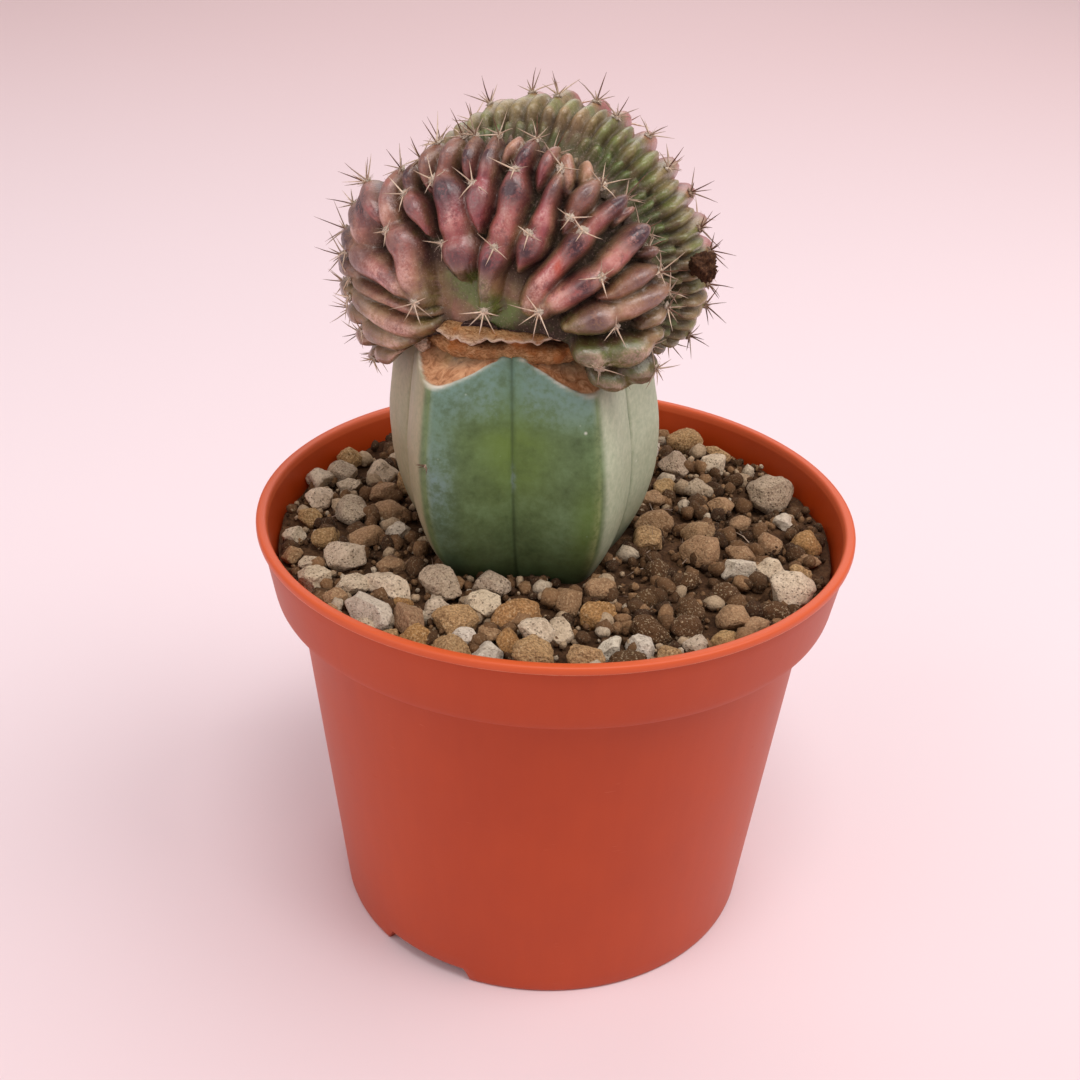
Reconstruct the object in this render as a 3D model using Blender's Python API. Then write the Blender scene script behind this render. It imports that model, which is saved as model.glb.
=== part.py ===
# A grafted, crested gymnocalycium in a plastic nursery pot.
#
# The origin is on the surface that the pot stands on, below the middle of the pot. +Z is up and -Y is the side
# that is seen from the front. Sizes are in millimetres and the meshes in metres.

import bmesh
import bpy
import numpy as np
from math import cos, hypot, pi, radians, sin, sqrt
from mathutils import Matrix, Vector, noise
from mathutils.bvhtree import BVHTree

MM = 0.001
GAP = 0.3                      # between pieces that touch

# Pot: a standard 8.5 cm nursery pot
RIM_RADIUS = 42.5
POT_HEIGHT = 63.8
COLLAR_BOTTOM = 53.2
COLLAR_BOTTOM_RADIUS = 40.3
WALL_TOP_RADIUS = 37.2
BASE_RADIUS = 31.2
WALL = 1.2
LIP = 1.2                      # height of the thicker edge round the rim
FOOT_HEIGHT = 2.5              # the floor is raised by this much
FOOT_RING = 1.4                # width of the ring that it stands on
POT_SIDES = 40
NOTCH_ANGLES = (-33, 147)      # from the front, to the right
NOTCH_SPAN = 27
DRAIN_HOLE_RADIUS = 2.5
DRAIN_RING_RADIUS = 17

# Soil and gravel
SOIL_TOP = 59
# Stones that the photograph shows: place to the right and back, length, width, and how far its length is turned
STONES = (
    # front left, from the rim inwards
    (-20.6, -31.2, 3, 2.6, 40), (-17.2, -31.4, 4.6, 4, 60), (-12.8, -34.2, 5, 4, 0), (-8.2, -34.2, 5, 3.6, 80),
    (-2.2, -34.6, 5.4, 4.6, 0), (-24.8, -28.4, 3.8, 2.8, -50), (-11, -31, 3.8, 3, 0), (-5.6, -31.2, 3.6, 3, 90),
    (-8.2, -29.4, 3, 2.6, 0), (-2, -29.6, 4.6, 4, 0), (-24, -25.2, 8.2, 4.2, -58), (-18.8, -26.6, 5.4, 4, -65),
    (-12.2, -27.2, 6, 5, 20), (-4.8, -25.2, 6.6, 4.2, 40), (-15.4, -24.2, 4.2, 3.2, 30), (-9.2, -22.6, 5.6, 4.2, -50),
    (-32.2, -17.4, 5.8, 4.6, 10), (-27, -18.4, 4.6, 3.8, 80), (-22.2, -18.8, 7.2, 5, -40), (-15.2, -18.4, 6, 4.6, -60),
    (-8.4, -17.8, 5.4, 4.4, -30), (-29, -22, 3.2, 2.8, 0), (-28.8, -11.8, 7, 5, -10), (-36.4, -11, 3.4, 2.8, 80),
    (-22.6, -12.6, 4, 3.4, 10), (-33.4, -12.6, 3.6, 3, 20), (-20, -22.6, 3, 2.4, 0), (-29.6, -25.2, 2.6, 2.2, 50),
    # front right
    (4, -35, 5, 4.2, 0), (9.6, -34.9, 4.6, 3.6, 0), (14.8, -33.4, 3.4, 3, 0), (17.6, -33, 2.2, 1.8, 0),
    (18.4, -30.4, 3.8, 3.2, 80), (22, -29.2, 3.8, 3.4, 20), (26.7, -25.3, 3.6, 3, 0), (7.2, -31.4, 4.2, 3.2, 70),
    (11.4, -31.4, 4.8, 3.6, -60), (1.1, -28.2, 4.4, 3.6, 80), (5.9, -24.4, 5, 4.2, 60), (12.4, -27.2, 5, 4, -20),
    (17.6, -26.4, 4, 3.4, 0), (18.2, -22.2, 4.6, 4, 80), (23.8, -23, 5, 4, -70), (29.2, -21.4, 4, 3.2, -20),
    (32.2, -16.8, 8, 5.6, 35), (2, -20.2, 5, 3.8, 80), (6.2, -17.6, 4.2, 3.6, 60), (25.4, -11, 5, 4, 65),
    (30, -11.4, 4.8, 3.8, 20), (34, -10.6, 3.4, 2.8, 80), (20.6, -6, 6, 5, 70), (26.2, -5.6, 4.2, 3.6, 0),
    (12.2, -19, 3.6, 3, 40), (23.2, -17.4, 4, 3.4, 0), (14.4, -11.6, 3.8, 3.2, 70), (18.2, -14.2, 3.2, 2.8, 0),
    (36, -2, 4.8, 4.2, 60), (30.6, -2.6, 4, 3.4, 90), (35.8, -6.8, 2.8, 2.4, 0),
    # behind, on the right and then on the left
    (21, 0.2, 4.8, 4.2, 0), (31.6, 11, 8, 6, 50), (33.6, 4.6, 3.4, 2.6, 80), (24.6, 22, 5.4, 4, 70),
    (20.6, 30.4, 5.4, 4.8, 0), (19.2, 8, 3, 2.4, 90), (24.6, 9, 4, 3.4, 60), (27, 3, 3.4, 2.8, 20),
    (-36.4, 12, 4.6, 3.8, 80), (-27, 15.6, 5.4, 4.6, 70), (-35, 6, 4.6, 3.8, 70), (-29.6, 2, 6.2, 5.2, -50),
    (-31.2, 10.6, 3.4, 2.8, 0), (-32.4, 19.4, 4, 3.4, 0), (-32.4, -6, 4.4, 3.6, 60), (-37.2, -5, 4.2, 3.2, 80),
    (-35.6, 0.4, 3.4, 3, 0), (-26.8, -5.2, 4.8, 4, 20), (-25.6, 8.8, 4.2, 3.6, 30),
)
MORE_STONES = 34               # where the photograph shows none, mostly behind
MORE_STONE_SIZES = (3.6, 6.4)
STONE_HEIGHT = 0.84            # as a share of a stone's width
STONE_WALL_GAP = 0.6           # between the stones and the pot
STONE_SEED = 7

# Rootstock
STOCK_CENTRE = (-5.2, -0.6)     # at the height of its middle
STOCK_MIDDLE = 75
STOCK_LEAN = -0.04             # to the right for each millimetre up
STOCK_BOTTOM = 40
STOCK_TOP = 92
STOCK_RIBS = (-37, 33, 106, 178, -110)   # from the front, to the right
STOCK_RADII = ((40, 9), (54, 12.4), (59, 15.2), (63, 18), (69, 19.8), (76, 20.2), (84, 19), (92, 17.4))
STOCK_FACE = 0.81              # middle of a face, as a share of the rib's radius
STOCK_GROOVE = 0.775           # bottom of the groove in a face
SHOULDER = 12.4                # the ribs are cut away outside this radius
SHOULDER_SLOPE = radians(37)
SHOULDER_RIM = 0.7             # width of the raised edge round a cut shoulder
SHOULDER_SINK = 0.35

# Callus between rootstock and crest
CALLUS_RADIUS = 15.2
CALLUS_BOTTOM = 90.4
CALLUS_TOP = 95.5

# Crest. It is a fan, folded over a growth line that runs over its top from end to end. A place on it is given by
# its fan angle, from straight up towards the right, and by how far round it is from the fan's middle plane towards
# the front (negative) or the back.
CREST_CENTRE = Vector((-5.5, 0, 96.5))
CREST_TURN = radians(20)       # its right end is turned towards the front
FRONT_DEPTH = 17.4
BACK_DEPTH = 20.5
# Fan angle and angle round of the growth line
GROWTH_LINE = ((-180, 0), (-60, 0), (-38, -5), (-15, -12), (60, -12), (85, -9), (110, -5), (180, 0))
GROOVE_SHARE = 0.09            # depth of the fold along the growth line
GROOVE_WIDTH = 9               # half its width, in degrees round
FRONT_RIB_START = (1, 6)       # the ribs rise from this far off the line, over this much, in degrees round
BACK_RIB_START = (2, 9)
RIB_DEPTH = 3.4
RIB_REACH = 0.54               # half a rib's foot, as a share of its width
RIB_ROUND = 0.62               # 0.5 is a round section and 1 a parabola
PATH_STEP = 0.5                # along the middle of a rib
FRONT_OUTLINE = (
    (-180, 6), (-145, 12), (-130, 20), (-118, 24), (-100, 24.8), (-90, 25.4), (-70, 25.6), (-45, 25.2),
    (-25, 25), (0, 25.4), (45, 25.9), (75, 25.6), (90, 25.2), (105, 24.4), (118, 22.6), (130, 17.4), (145, 11),
    (180, 6),
)
BACK_OUTLINE = (
    (-180, 6), (-145, 12), (-130, 20), (-118, 23.4), (-100, 24), (-90, 24.2), (-70, 23.8), (-45, 22.8),
    (-25, 23.4), (0, 25.4), (20, 26.2), (45, 25.6), (75, 25.6), (90, 25.2), (105, 23.6), (118, 20.6), (130, 15.6),
    (145, 10), (180, 6),
)
# Hollow under the crest that it grew round the graft with: across and up, from the crest's centre
SADDLE = (
    (-18.5, -17), (-15.4, -11.6), (-11.8, -6.6), (-9, -4.8), (-6, -3.2), (-2.6, -1.7), (1.5, -0.9), (8.6, -1),
    (11.6, -2.4), (13.4, -5.6), (15.2, -8.8), (17.4, -14),
)
# Ribs on the front: places across and up on its face, the rib's width there, and the places of its areoles
FRONT_RIBS = (
    (((-19.4, 13), (-19, 11.2), (-19.4, 8.8), (-20.2, 6), (-17.8, 4.6), (-14.4, 4), (-11.8, 2.9), (-9.8, 2.1)),
     (3.2, 5, 6.2, 6.2, 5, 4.4, 3.6, 2.2), ((-20, 13.5), (-21.4, 4.6))),
    (((-14.8, 16.2), (-15, 13.8), (-14.6, 12), (-13.4, 9.9), (-11.4, 8.3), (-10.5, 6.6), (-9.6, 4), (-8.5, 2)),
     (2.2, 3, 3.8, 4.6, 5, 5.2, 5.2, 4.4), ((-14.8, 17), (-13.4, 9.6), (-8.3, 1.6))),
    (((-11.6, 18.2), (-12.2, 16.2), (-11.4, 14.4), (-9.9, 13.1), (-8.8, 12), (-7.8, 10.7)),
     (1.8, 2.4, 3, 3.2, 2.6, 1.4), ((-11.7, 18.8), (-11.7, 14.4))),
    (((-9.3, 20.2), (-9.8, 18.6), (-9.6, 17.3), (-8.8, 16)), (2.4, 2.8, 2.4, 1.2), ((-9.4, 20.7),)),
    (((-6.2, 21.7), (-6.8, 19.5), (-6.8, 17.4), (-5.1, 15), (-4, 12.6), (-3.2, 10.2), (-2.6, 8), (-2.2, 6)),
     (2.6, 2.9, 3.7, 5, 5.6, 5.9, 4.9, 2.2), ((-5.8, 22.2), (-7.8, 16.8), (-5.4, 9.6))),
    (((-3.8, 21.9), (-3.7, 20.3), (-3.5, 18.9), (-3.3, 17.8)), (2.4, 2.6, 2.2, 0.9), ((-4, 22.5),)),
    (((-1, 22.7), (-0.9, 21), (-0.9, 18.8), (-1, 16.6), (-0.8, 14.2), (-0.4, 12)),
     (2.1, 2.4, 3.2, 3.9, 3.3, 1.1), ((-0.6, 22.9), (-1.8, 17.2))),
    (((2.2, 22.6), (1.5, 21.5), (1, 20.3)), (2, 2.2, 1), ()),
    (((4.1, 22.8), (3.7, 21), (3.3, 19), (3.4, 16.6), (3.2, 14), (2.5, 11), (1.6, 8), (1.2, 5), (1.2, 2.2)),
     (2.2, 2.5, 3.4, 4.3, 4.1, 4.8, 3.7, 3.1, 3), ((4.4, 23.2), (3.2, 19.2), (2.3, 10.3), (1.3, 2.1))),
    (((7.4, 22.4), (6.8, 21), (6.5, 19.6), (6.3, 18.2)), (1.9, 2.4, 2.2, 0.9), ((6.9, 23),)),
    (((8.6, 19.6), (8.3, 17.8), (7.9, 15.6), (7.5, 13.2), (6.8, 11.5), (6, 9.6), (5.3, 7.7)),
     (1.9, 2.4, 2.8, 4, 4.3, 3, 1), ((8.7, 20), (6.4, 12.4))),
    (((8.9, 21), (9.8, 19.2), (10, 17.8)), (2.4, 2, 0.8), ()),
    (((11.5, 20.7), (11.8, 19.6), (11.6, 18.6)), (2.1, 2.2, 1), ()),
    (((13.4, 19), (12.6, 17.8), (11.9, 16.6), (11.2, 15), (10.6, 13.1)),
     (2, 3, 3.4, 2.9, 1), ((13.8, 18.4), (11, 14.6))),
    (((17.3, 17.4), (15.7, 15.9), (14.2, 14.2), (12.7, 12.3), (11.2, 10.3), (9.5, 8), (8, 5.8), (7.1, 3.4)),
     (1.9, 2.7, 3.2, 3.6, 3.3, 3.2, 3.7, 3.4), ((17.7, 17.7), (12.7, 13.1))),
    (((18.8, 16.4), (17.7, 15.5), (16.6, 14.2)), (1.5, 1.5, 0.8), ()),
    (((20.4, 13.7), (18.8, 12.4), (17.2, 10.2), (15.5, 8.1), (13.4, 6.4), (11, 4.7), (8.6, 3.1)),
     (2.4, 3.3, 3.6, 3.6, 3.4, 3.9, 3.6), ((20.9, 13.8), (15.5, 7.8), (8.5, 3.1))),
    (((22, 11.2), (21.2, 10.6), (20.2, 10.3)), (1.8, 2, 0.9), ((22.1, 11.6),)),
    (((21.6, 8.1), (20.2, 7.7), (18.9, 6.8), (17.5, 5.7), (15.8, 5.1)), (2.3, 3, 3.1, 2.5, 1), ((21.9, 7.9),)),
    (((23.2, 5.9), (21, 4.6), (18.6, 3.4), (16.2, 2.4), (14, 1.7), (12, 1.1)),
     (2.6, 3.5, 4.1, 4.4, 3.9, 2.2), ((23.4, 5.2), (17.8, 1.4))),
    (((23.1, 2.6), (22, 1.7), (20.9, 0.7)), (2.1, 2.4, 1.1), ((23.4, 3),)),
    (((22.4, -0.7), (20.8, -2), (18.8, -2.9), (16.4, -3.1), (14.2, -2.5)),
     (2.6, 3.7, 4.5, 4.5, 3.4), ((22.3, -2.8), (16, -4.4))),
    (((21.7, -5.2), (20.2, -6.4), (18.2, -7.5), (15.6, -6.8)),
     (2.6, 3.5, 3.7, 2.6), ((22, -5.6), (18.6, -9.6))),
    (((-20.6, 1.4), (-17.3, 0.7), (-13.4, 0.4), (-9.4, 0), (-6.4, 0.1)),
     (2.2, 2.4, 2.2, 2, 1.1), ((-20.8, 1.3),)),
    (((-20, -0.6), (-16.5, -2), (-13.2, -2.6), (-9.4, -2.5), (-6.4, -1.4)),
     (3, 3.5, 3.7, 3.4, 1.8), ((-20.4, -1.2),)),
    (((-18, -5.2), (-14.4, -5.3), (-11.6, -5), (-9.8, -4.4)), (3.4, 3.8, 3.2, 2), ((-18.4, -5.6),)),
    (((-16.6, -8.8), (-13.2, -8.2), (-10.9, -6.8)), (3, 3.4, 2.4), ((-16.9, -9.4),)),
)
# Ribs on the back: by turns a middle and a long one at these fan angles, and a short one beside the growth line
# between each two
BACK_RIB_ANGLES = (-113, -99, -85, -71, -57, -43, -30, -17, -5, 6, 16, 25, 35, 46, 56, 66, 75, 84, 94, 104, 114)
# Along each kind of rib: share of the outline's radius, and width as a share of the distance between two ribs
BACK_LONG_RIB = ((0.985, 0.75), (0.96, 0.9), (0.85, 1), (0.7, 1.1), (0.5, 1.75), (0.35, 2), (0.18, 2.2))
BACK_MIDDLE_RIB = ((0.985, 0.65), (0.95, 0.9), (0.82, 1), (0.64, 0.95), (0.42, 0.35))
BACK_SHORT_RIB = ((0.992, 0.4), (0.97, 0.45), (0.94, 0.3))
BACK_LONG_AREOLES = (0.962, 0.8, 0.5)
BACK_MIDDLE_AREOLES = (0.925, 0.66)
FLOWER_ANGLE = 75              # dried flower, on the back half just past the growth line
FLOWER_ROUND = 0
FLOWER_SIZE = 1.7

CREST_COLUMNS = 220
CREST_ROWS = 110
CREST_GRAIN = 0.5
CREST_TRIANGLES = 3700
SPINE_LENGTHS = (3.2, 4.8)
SPINE_RADIUS = 0.28
SPINE_ROOT = 1.1               # how far a spine is sunk into the flesh
SPINE_CLEARANCE = 1            # and how far it stays from the hollow under the crest
SPINE_SEED = 11


def clear_scene():
    for obj in list(bpy.data.objects):
        bpy.data.objects.remove(obj)


def material(name, colour, roughness):
    mat = bpy.data.materials.new(name)
    mat.use_nodes = True
    shader = mat.node_tree.nodes["Principled BSDF"]
    shader.inputs["Base Color"].default_value = (*colour, 1)
    shader.inputs["Roughness"].default_value = roughness
    shader.inputs["Metallic"].default_value = 0
    return mat


def object_from(bm, name):
    """Turns a bmesh in millimetres into an object in metres."""
    bmesh.ops.scale(bm, vec=(MM, MM, MM), verts=bm.verts)
    mesh = bpy.data.meshes.new(name)
    bm.to_mesh(mesh)
    bm.free()
    obj = bpy.data.objects.new(name, mesh)
    bpy.context.scene.collection.objects.link(obj)
    return obj


def finish(obj, mat, smooth_angle=None):
    obj.data.materials.clear()
    obj.data.materials.append(mat)
    if smooth_angle is not None:
        obj.data.shade_smooth()
        obj.data.set_sharp_from_angle(angle=radians(smooth_angle))


def apply_modifiers(obj):
    graph = bpy.context.evaluated_depsgraph_get()
    mesh = bpy.data.meshes.new_from_object(obj.evaluated_get(graph))
    old = obj.data
    obj.modifiers.clear()
    obj.data = mesh
    mesh.name = obj.name
    bpy.data.meshes.remove(old)


def boolean(obj, others, operation, solver="EXACT"):
    """Joins or cuts obj with a list of objects in one step, and removes them."""
    group = bpy.data.collections.new(obj.name + "_operands")
    bpy.context.scene.collection.children.link(group)
    for other in others:
        group.objects.link(other)
    modifier = obj.modifiers.new(operation.title(), "BOOLEAN")
    modifier.operation = operation
    modifier.operand_type = "COLLECTION"
    modifier.collection = group
    modifier.solver = solver
    apply_modifiers(obj)
    for other in others:
        bpy.data.objects.remove(other)
    bpy.data.collections.remove(group)


def direction(angle):
    """Level direction at an angle in degrees from the front, towards the right."""
    return Vector((sin(radians(angle)), -cos(radians(angle)), 0))


def turned(profile, sides):
    """Closed ring turned from a closed profile of (radius, height) points."""
    bm = bmesh.new()
    verts = [bm.verts.new((r, 0, z)) for r, z in profile]
    edges = [bm.edges.new((verts[i - 1], verts[i])) for i in range(len(verts))]
    bmesh.ops.spin(bm, geom=verts + edges, axis=(0, 0, 1), angle=2 * pi, steps=sides, use_merge=True)
    bmesh.ops.remove_doubles(bm, verts=bm.verts, dist=0.001)
    bmesh.ops.recalc_face_normals(bm, faces=bm.faces)
    return bm


def wall_radius(z):
    """Outer radius of the pot's wall below the collar."""
    return BASE_RADIUS + (WALL_TOP_RADIUS - BASE_RADIUS) * z / COLLAR_BOTTOM


def collar_radius(z):
    share = (z - COLLAR_BOTTOM) / (POT_HEIGHT - COLLAR_BOTTOM)
    return COLLAR_BOTTOM_RADIUS + (RIM_RADIUS - 0.35 - COLLAR_BOTTOM_RADIUS) * share


def make_pot():
    foot = wall_radius(0)
    lip_bottom = POT_HEIGHT - LIP
    floor = FOOT_HEIGHT + WALL
    hole = DRAIN_HOLE_RADIUS
    profile = (
        (hole, FOOT_HEIGHT),
        (foot - FOOT_RING - 0.3, FOOT_HEIGHT),
        (foot - FOOT_RING, FOOT_HEIGHT - 0.3),
        (foot - FOOT_RING, 0),
        (foot - 0.5, 0),
        (foot - 0.1, 0.3),
        (wall_radius(1), 1),
        (wall_radius(COLLAR_BOTTOM - 0.4), COLLAR_BOTTOM - 0.4),
        (WALL_TOP_RADIUS + 0.4, COLLAR_BOTTOM),
        (COLLAR_BOTTOM_RADIUS - 0.3, COLLAR_BOTTOM),
        (COLLAR_BOTTOM_RADIUS, COLLAR_BOTTOM + 0.3),
        (collar_radius(lip_bottom - 0.2), lip_bottom - 0.2),
        (RIM_RADIUS, lip_bottom + 0.1),
        (RIM_RADIUS, POT_HEIGHT - 0.3),
        (RIM_RADIUS - 0.3, POT_HEIGHT),
        (RIM_RADIUS - WALL + 0.1, POT_HEIGHT),
        (RIM_RADIUS - WALL - 0.3, POT_HEIGHT - 0.5),
        (COLLAR_BOTTOM_RADIUS - WALL, COLLAR_BOTTOM + 1),
        (WALL_TOP_RADIUS - WALL, COLLAR_BOTTOM - 0.8),
        (wall_radius(floor + 0.6) - WALL, floor + 0.6),
        (wall_radius(floor) - WALL - 0.6, floor),
        (hole, floor),
    )
    pot = object_from(turned(profile, POT_SIDES), "pot")
    cutters = [notch_cutter(angle) for angle in NOTCH_ANGLES]
    cutters += [drain_cutter(k * 60) for k in range(6)]
    boolean(pot, cutters, "DIFFERENCE")
    finish(pot, material("terracotta plastic", (0.42, 0.055, 0.022), 0.42), 35)
    return pot


def notch_cutter(angle):
    """Wedge that opens the foot ring over NOTCH_SPAN, up to the floor."""
    bm = bmesh.new()
    inner = wall_radius(0) - FOOT_RING - 1
    outer = wall_radius(0) + 2
    half = NOTCH_SPAN / 2
    corners = ((-half, inner), (half, inner), (half, outer), (0, outer + 1), (-half, outer))
    verts = [bm.verts.new(direction(angle + turn) * radius + Vector((0, 0, -1))) for turn, radius in corners]
    face = bm.faces.new(verts)
    top = bmesh.ops.extrude_face_region(bm, geom=[face])["geom"]
    lift = FOOT_HEIGHT - 0.35 + 1
    bmesh.ops.translate(bm, vec=(0, 0, lift), verts=[v for v in top if isinstance(v, bmesh.types.BMVert)])
    bmesh.ops.recalc_face_normals(bm, faces=bm.faces)
    return object_from(bm, "notch_cutter")


def drain_cutter(angle):
    bm = bmesh.new()
    hole = DRAIN_HOLE_RADIUS
    bmesh.ops.create_cone(bm, cap_ends=True, segments=10, radius1=hole, radius2=hole, depth=6)
    place = direction(angle) * DRAIN_RING_RADIUS + Vector((0, 0, FOOT_HEIGHT + WALL / 2))
    bmesh.ops.translate(bm, vec=place, verts=bm.verts)
    return object_from(bm, "drain_cutter")


def stock_axis(z):
    return Vector((STOCK_CENTRE[0] + STOCK_LEAN * (z - STOCK_MIDDLE), STOCK_CENTRE[1], z))


def stock_radius(z):
    heights, radii = zip(*STOCK_RADII)
    return float(np.interp(z, heights, radii))


def stock_mesh(grow=0.0):
    """Five-ribbed column. grow moves its whole surface out, for the space that its neighbours leave it."""
    levels = [z for z, _ in STOCK_RADII]
    levels[0] -= grow
    levels[-1] += grow
    # shares of the way from one rib to the next, and of the rib's radius
    section = ((0, 1), (0.06, 0.985), (0.3, 0.862), (0.47, STOCK_FACE), (0.5, STOCK_GROOVE), (0.53, STOCK_FACE),
               (0.7, 0.862), (0.94, 0.985))
    bm = bmesh.new()
    rings = []
    for z in levels:
        ring = []
        for k, rib in enumerate(STOCK_RIBS):
            span = (STOCK_RIBS[(k + 1) % 5] - rib) % 360
            for share, size in section:
                radius = stock_radius(z) * size + grow * 1.15
                point = direction(rib + span * share) * radius + stock_axis(z)
                ring.append(bm.verts.new(point))
        rings.append(ring)
    for low, high in zip(rings, rings[1:]):
        bmesh.ops.bridge_loops(bm, edges=loop_edges(bm, low) + loop_edges(bm, high))
    bm.faces.new(rings[0])
    bm.faces.new(rings[-1])
    bmesh.ops.recalc_face_normals(bm, faces=bm.faces)
    for rib in STOCK_RIBS:
        cut_shoulder(bm, rib, grow)
    bmesh.ops.triangulate(bm, faces=bm.faces)
    return bm


def loop_edges(bm, ring):
    edges = []
    for a, b in zip(ring, ring[1:] + ring[:1]):
        edges.append(bm.edges.get((a, b)) or bm.edges.new((a, b)))
    return edges


def cut_shoulder(bm, rib, grow):
    """Cuts a rib's top away on a slope and sinks the cut a little inside its edge."""
    out = direction(rib)
    normal = out * sin(SHOULDER_SLOPE) + Vector((0, 0, cos(SHOULDER_SLOPE)))
    point = stock_axis(STOCK_TOP) + out * SHOULDER + normal * grow
    geometry = list(bm.verts) + list(bm.edges) + list(bm.faces)
    cut = bmesh.ops.bisect_plane(bm, geom=geometry, plane_co=point, plane_no=normal, clear_outer=True)
    edges = [e for e in cut["geom_cut"] if isinstance(e, bmesh.types.BMEdge)]
    facet = bmesh.ops.contextual_create(bm, geom=edges)["faces"]
    if not grow:
        bmesh.ops.inset_region(bm, faces=facet, thickness=SHOULDER_RIM, depth=-SHOULDER_SINK, use_even_offset=True)


def make_stock():
    stock = object_from(stock_mesh(), "stock")
    finish(stock, material("stock skin", (0.085, 0.19, 0.13), 0.5), 30)
    return stock


def callus_mesh(grow=0.0):
    """Ragged cork disc with a crack round its edge. Its underside lies on the rootstock's top and shoulders."""
    bm = bmesh.new()
    layers = (
        (CALLUS_BOTTOM - grow, -2.2), (CALLUS_BOTTOM + 1.2, -0.5), (CALLUS_BOTTOM + 2.7, -0.2),
        (CALLUS_BOTTOM + 3.4, -1.2), (CALLUS_BOTTOM + 4.1, 0.0), (CALLUS_TOP + grow, -0.8),
    )
    sides = 36
    rings = []
    for z, step in layers:
        ring = []
        for k in range(sides):
            angle = 360 * k / sides
            ragged = 0.7 * noise.noise(direction(angle) * 2.3 + Vector((0, 0, z * 0.35)))
            radius = CALLUS_RADIUS + ragged + (step if not grow else max(step, -0.6)) + grow
            ring.append(bm.verts.new(direction(angle) * radius + stock_axis(z)))
        rings.append(ring)
    for low, high in zip(rings, rings[1:]):
        bmesh.ops.bridge_loops(bm, edges=loop_edges(bm, low) + loop_edges(bm, high))
    bm.faces.new(rings[0])
    bm.faces.new(rings[-1])
    bmesh.ops.recalc_face_normals(bm, faces=bm.faces)
    bmesh.ops.triangulate(bm, faces=bm.faces)
    return bm


def make_callus():
    callus = object_from(callus_mesh(), "graft_callus")
    boolean(callus, [object_from(stock_mesh(GAP), "stock_space")], "DIFFERENCE")
    finish(callus, material("callus cork", (0.42, 0.19, 0.07), 0.85))
    return callus


# The crest's fan. Angles here are in radians and may be numpy arrays.

def growth_line(fan):
    """How far round the growth line is, in radians, at a fan angle."""
    angles, rounds = zip(*GROWTH_LINE)
    return np.radians(np.interp(np.degrees(fan), angles, rounds))


def outline_radius(fan, around):
    """Radius of the fan at its rib tops, with the two outlines blended across the growth line."""
    back = 1 / (1 + np.exp((growth_line(fan) - around) / radians(7)))
    front_angles, front_radii = zip(*FRONT_OUTLINE)
    back_angles, back_radii = zip(*BACK_OUTLINE)
    front = np.interp(np.degrees(fan), front_angles, front_radii)
    return front * (1 - back) + np.interp(np.degrees(fan), back_angles, back_radii) * back


def crest_surface(fan, around):
    """Points in millimetres on the surface through the rib tops."""
    across_axis = np.array((cos(CREST_TURN), -sin(CREST_TURN), 0))
    front_axis = np.array((-sin(CREST_TURN), -cos(CREST_TURN), 0))
    up_axis = np.array((0, 0, 1))
    fold = 1 - GROOVE_SHARE * np.exp(-((around - growth_line(fan)) / radians(GROOVE_WIDTH)) ** 2)
    radius = outline_radius(fan, around) * np.abs(np.cos(around)) ** 0.8 * fold
    depth = np.where(around < 0, FRONT_DEPTH, BACK_DEPTH) * np.sign(around) * np.abs(np.sin(around)) ** 0.9
    spokes = np.sin(fan)[..., None] * across_axis + np.cos(fan)[..., None] * up_axis
    return np.array(CREST_CENTRE) + radius[..., None] * spokes - depth[..., None] * front_axis


def crest_normal(fan, around):
    step = 0.004
    along = crest_surface(fan + step, around) - crest_surface(fan - step, around)
    down = crest_surface(fan, around + step) - crest_surface(fan, around - step)
    normal = np.cross(along, down)
    return normal / np.maximum(np.linalg.norm(normal, axis=-1, keepdims=True), 1e-9)


def face_place(fan, around):
    """Place across and up on the front or back face, as seen square on. The growth line parts the two."""
    line = growth_line(fan)
    from_line = (around - line) / (pi / 2 - line) * (pi / 2)
    share = np.cos(np.where(around < line, around, from_line))
    radius = outline_radius(fan, around) * np.abs(share) ** 0.8
    return radius * np.sin(fan), radius * np.cos(fan)


def angles_at(across, up, side):
    """Fan angle and angle round of a place on the front (-1) or back (1) face."""
    fan = np.arctan2(across, up)
    share = hypot(across, up) / outline_radius(fan, side * 1.0)
    around = np.arccos(np.clip(share, 0, 0.999) ** (1 / 0.8))
    line = growth_line(fan)
    return fan, -around if side < 0 else line + around * (pi / 2 - line) / (pi / 2)


def smooth_path(points, widths):
    """Places and widths at even steps along a smooth curve through the given ones."""
    samples = []
    count = len(points)
    knots = [np.array((*point, width)) for point, width in zip(points, widths)]
    for k in range(count - 1):
        before, start, end, after = (knots[min(max(k + i, 0), count - 1)] for i in (-1, 0, 1, 2))
        parts = max(2, int(hypot(*(end - start)[:2]) / PATH_STEP))
        for t in np.arange(parts) / parts:
            bend = (2 * before - 5 * start + 4 * end - after) * t * t
            twist = (3 * start - before - 3 * end + after) * t ** 3
            samples.append(0.5 * (2 * start + (end - before) * t + bend + twist))
    samples.append(knots[-1])
    return np.array(samples)


def back_ribs():
    ribs = []
    pitches = np.gradient(np.radians(BACK_RIB_ANGLES))
    for k, (angle, pitch) in enumerate(zip(BACK_RIB_ANGLES, pitches)):
        if k % 2:
            ribs.append(back_rib(radians(angle), pitch, BACK_LONG_RIB, BACK_LONG_AREOLES))
        else:
            ribs.append(back_rib(radians(angle), pitch, BACK_MIDDLE_RIB, BACK_MIDDLE_AREOLES))
    for angle, following in zip(BACK_RIB_ANGLES, BACK_RIB_ANGLES[1:]):
        between = radians((angle + following) / 2)
        ribs.append(back_rib(between, radians(following - angle), BACK_SHORT_RIB, ()))
    return ribs


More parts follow.
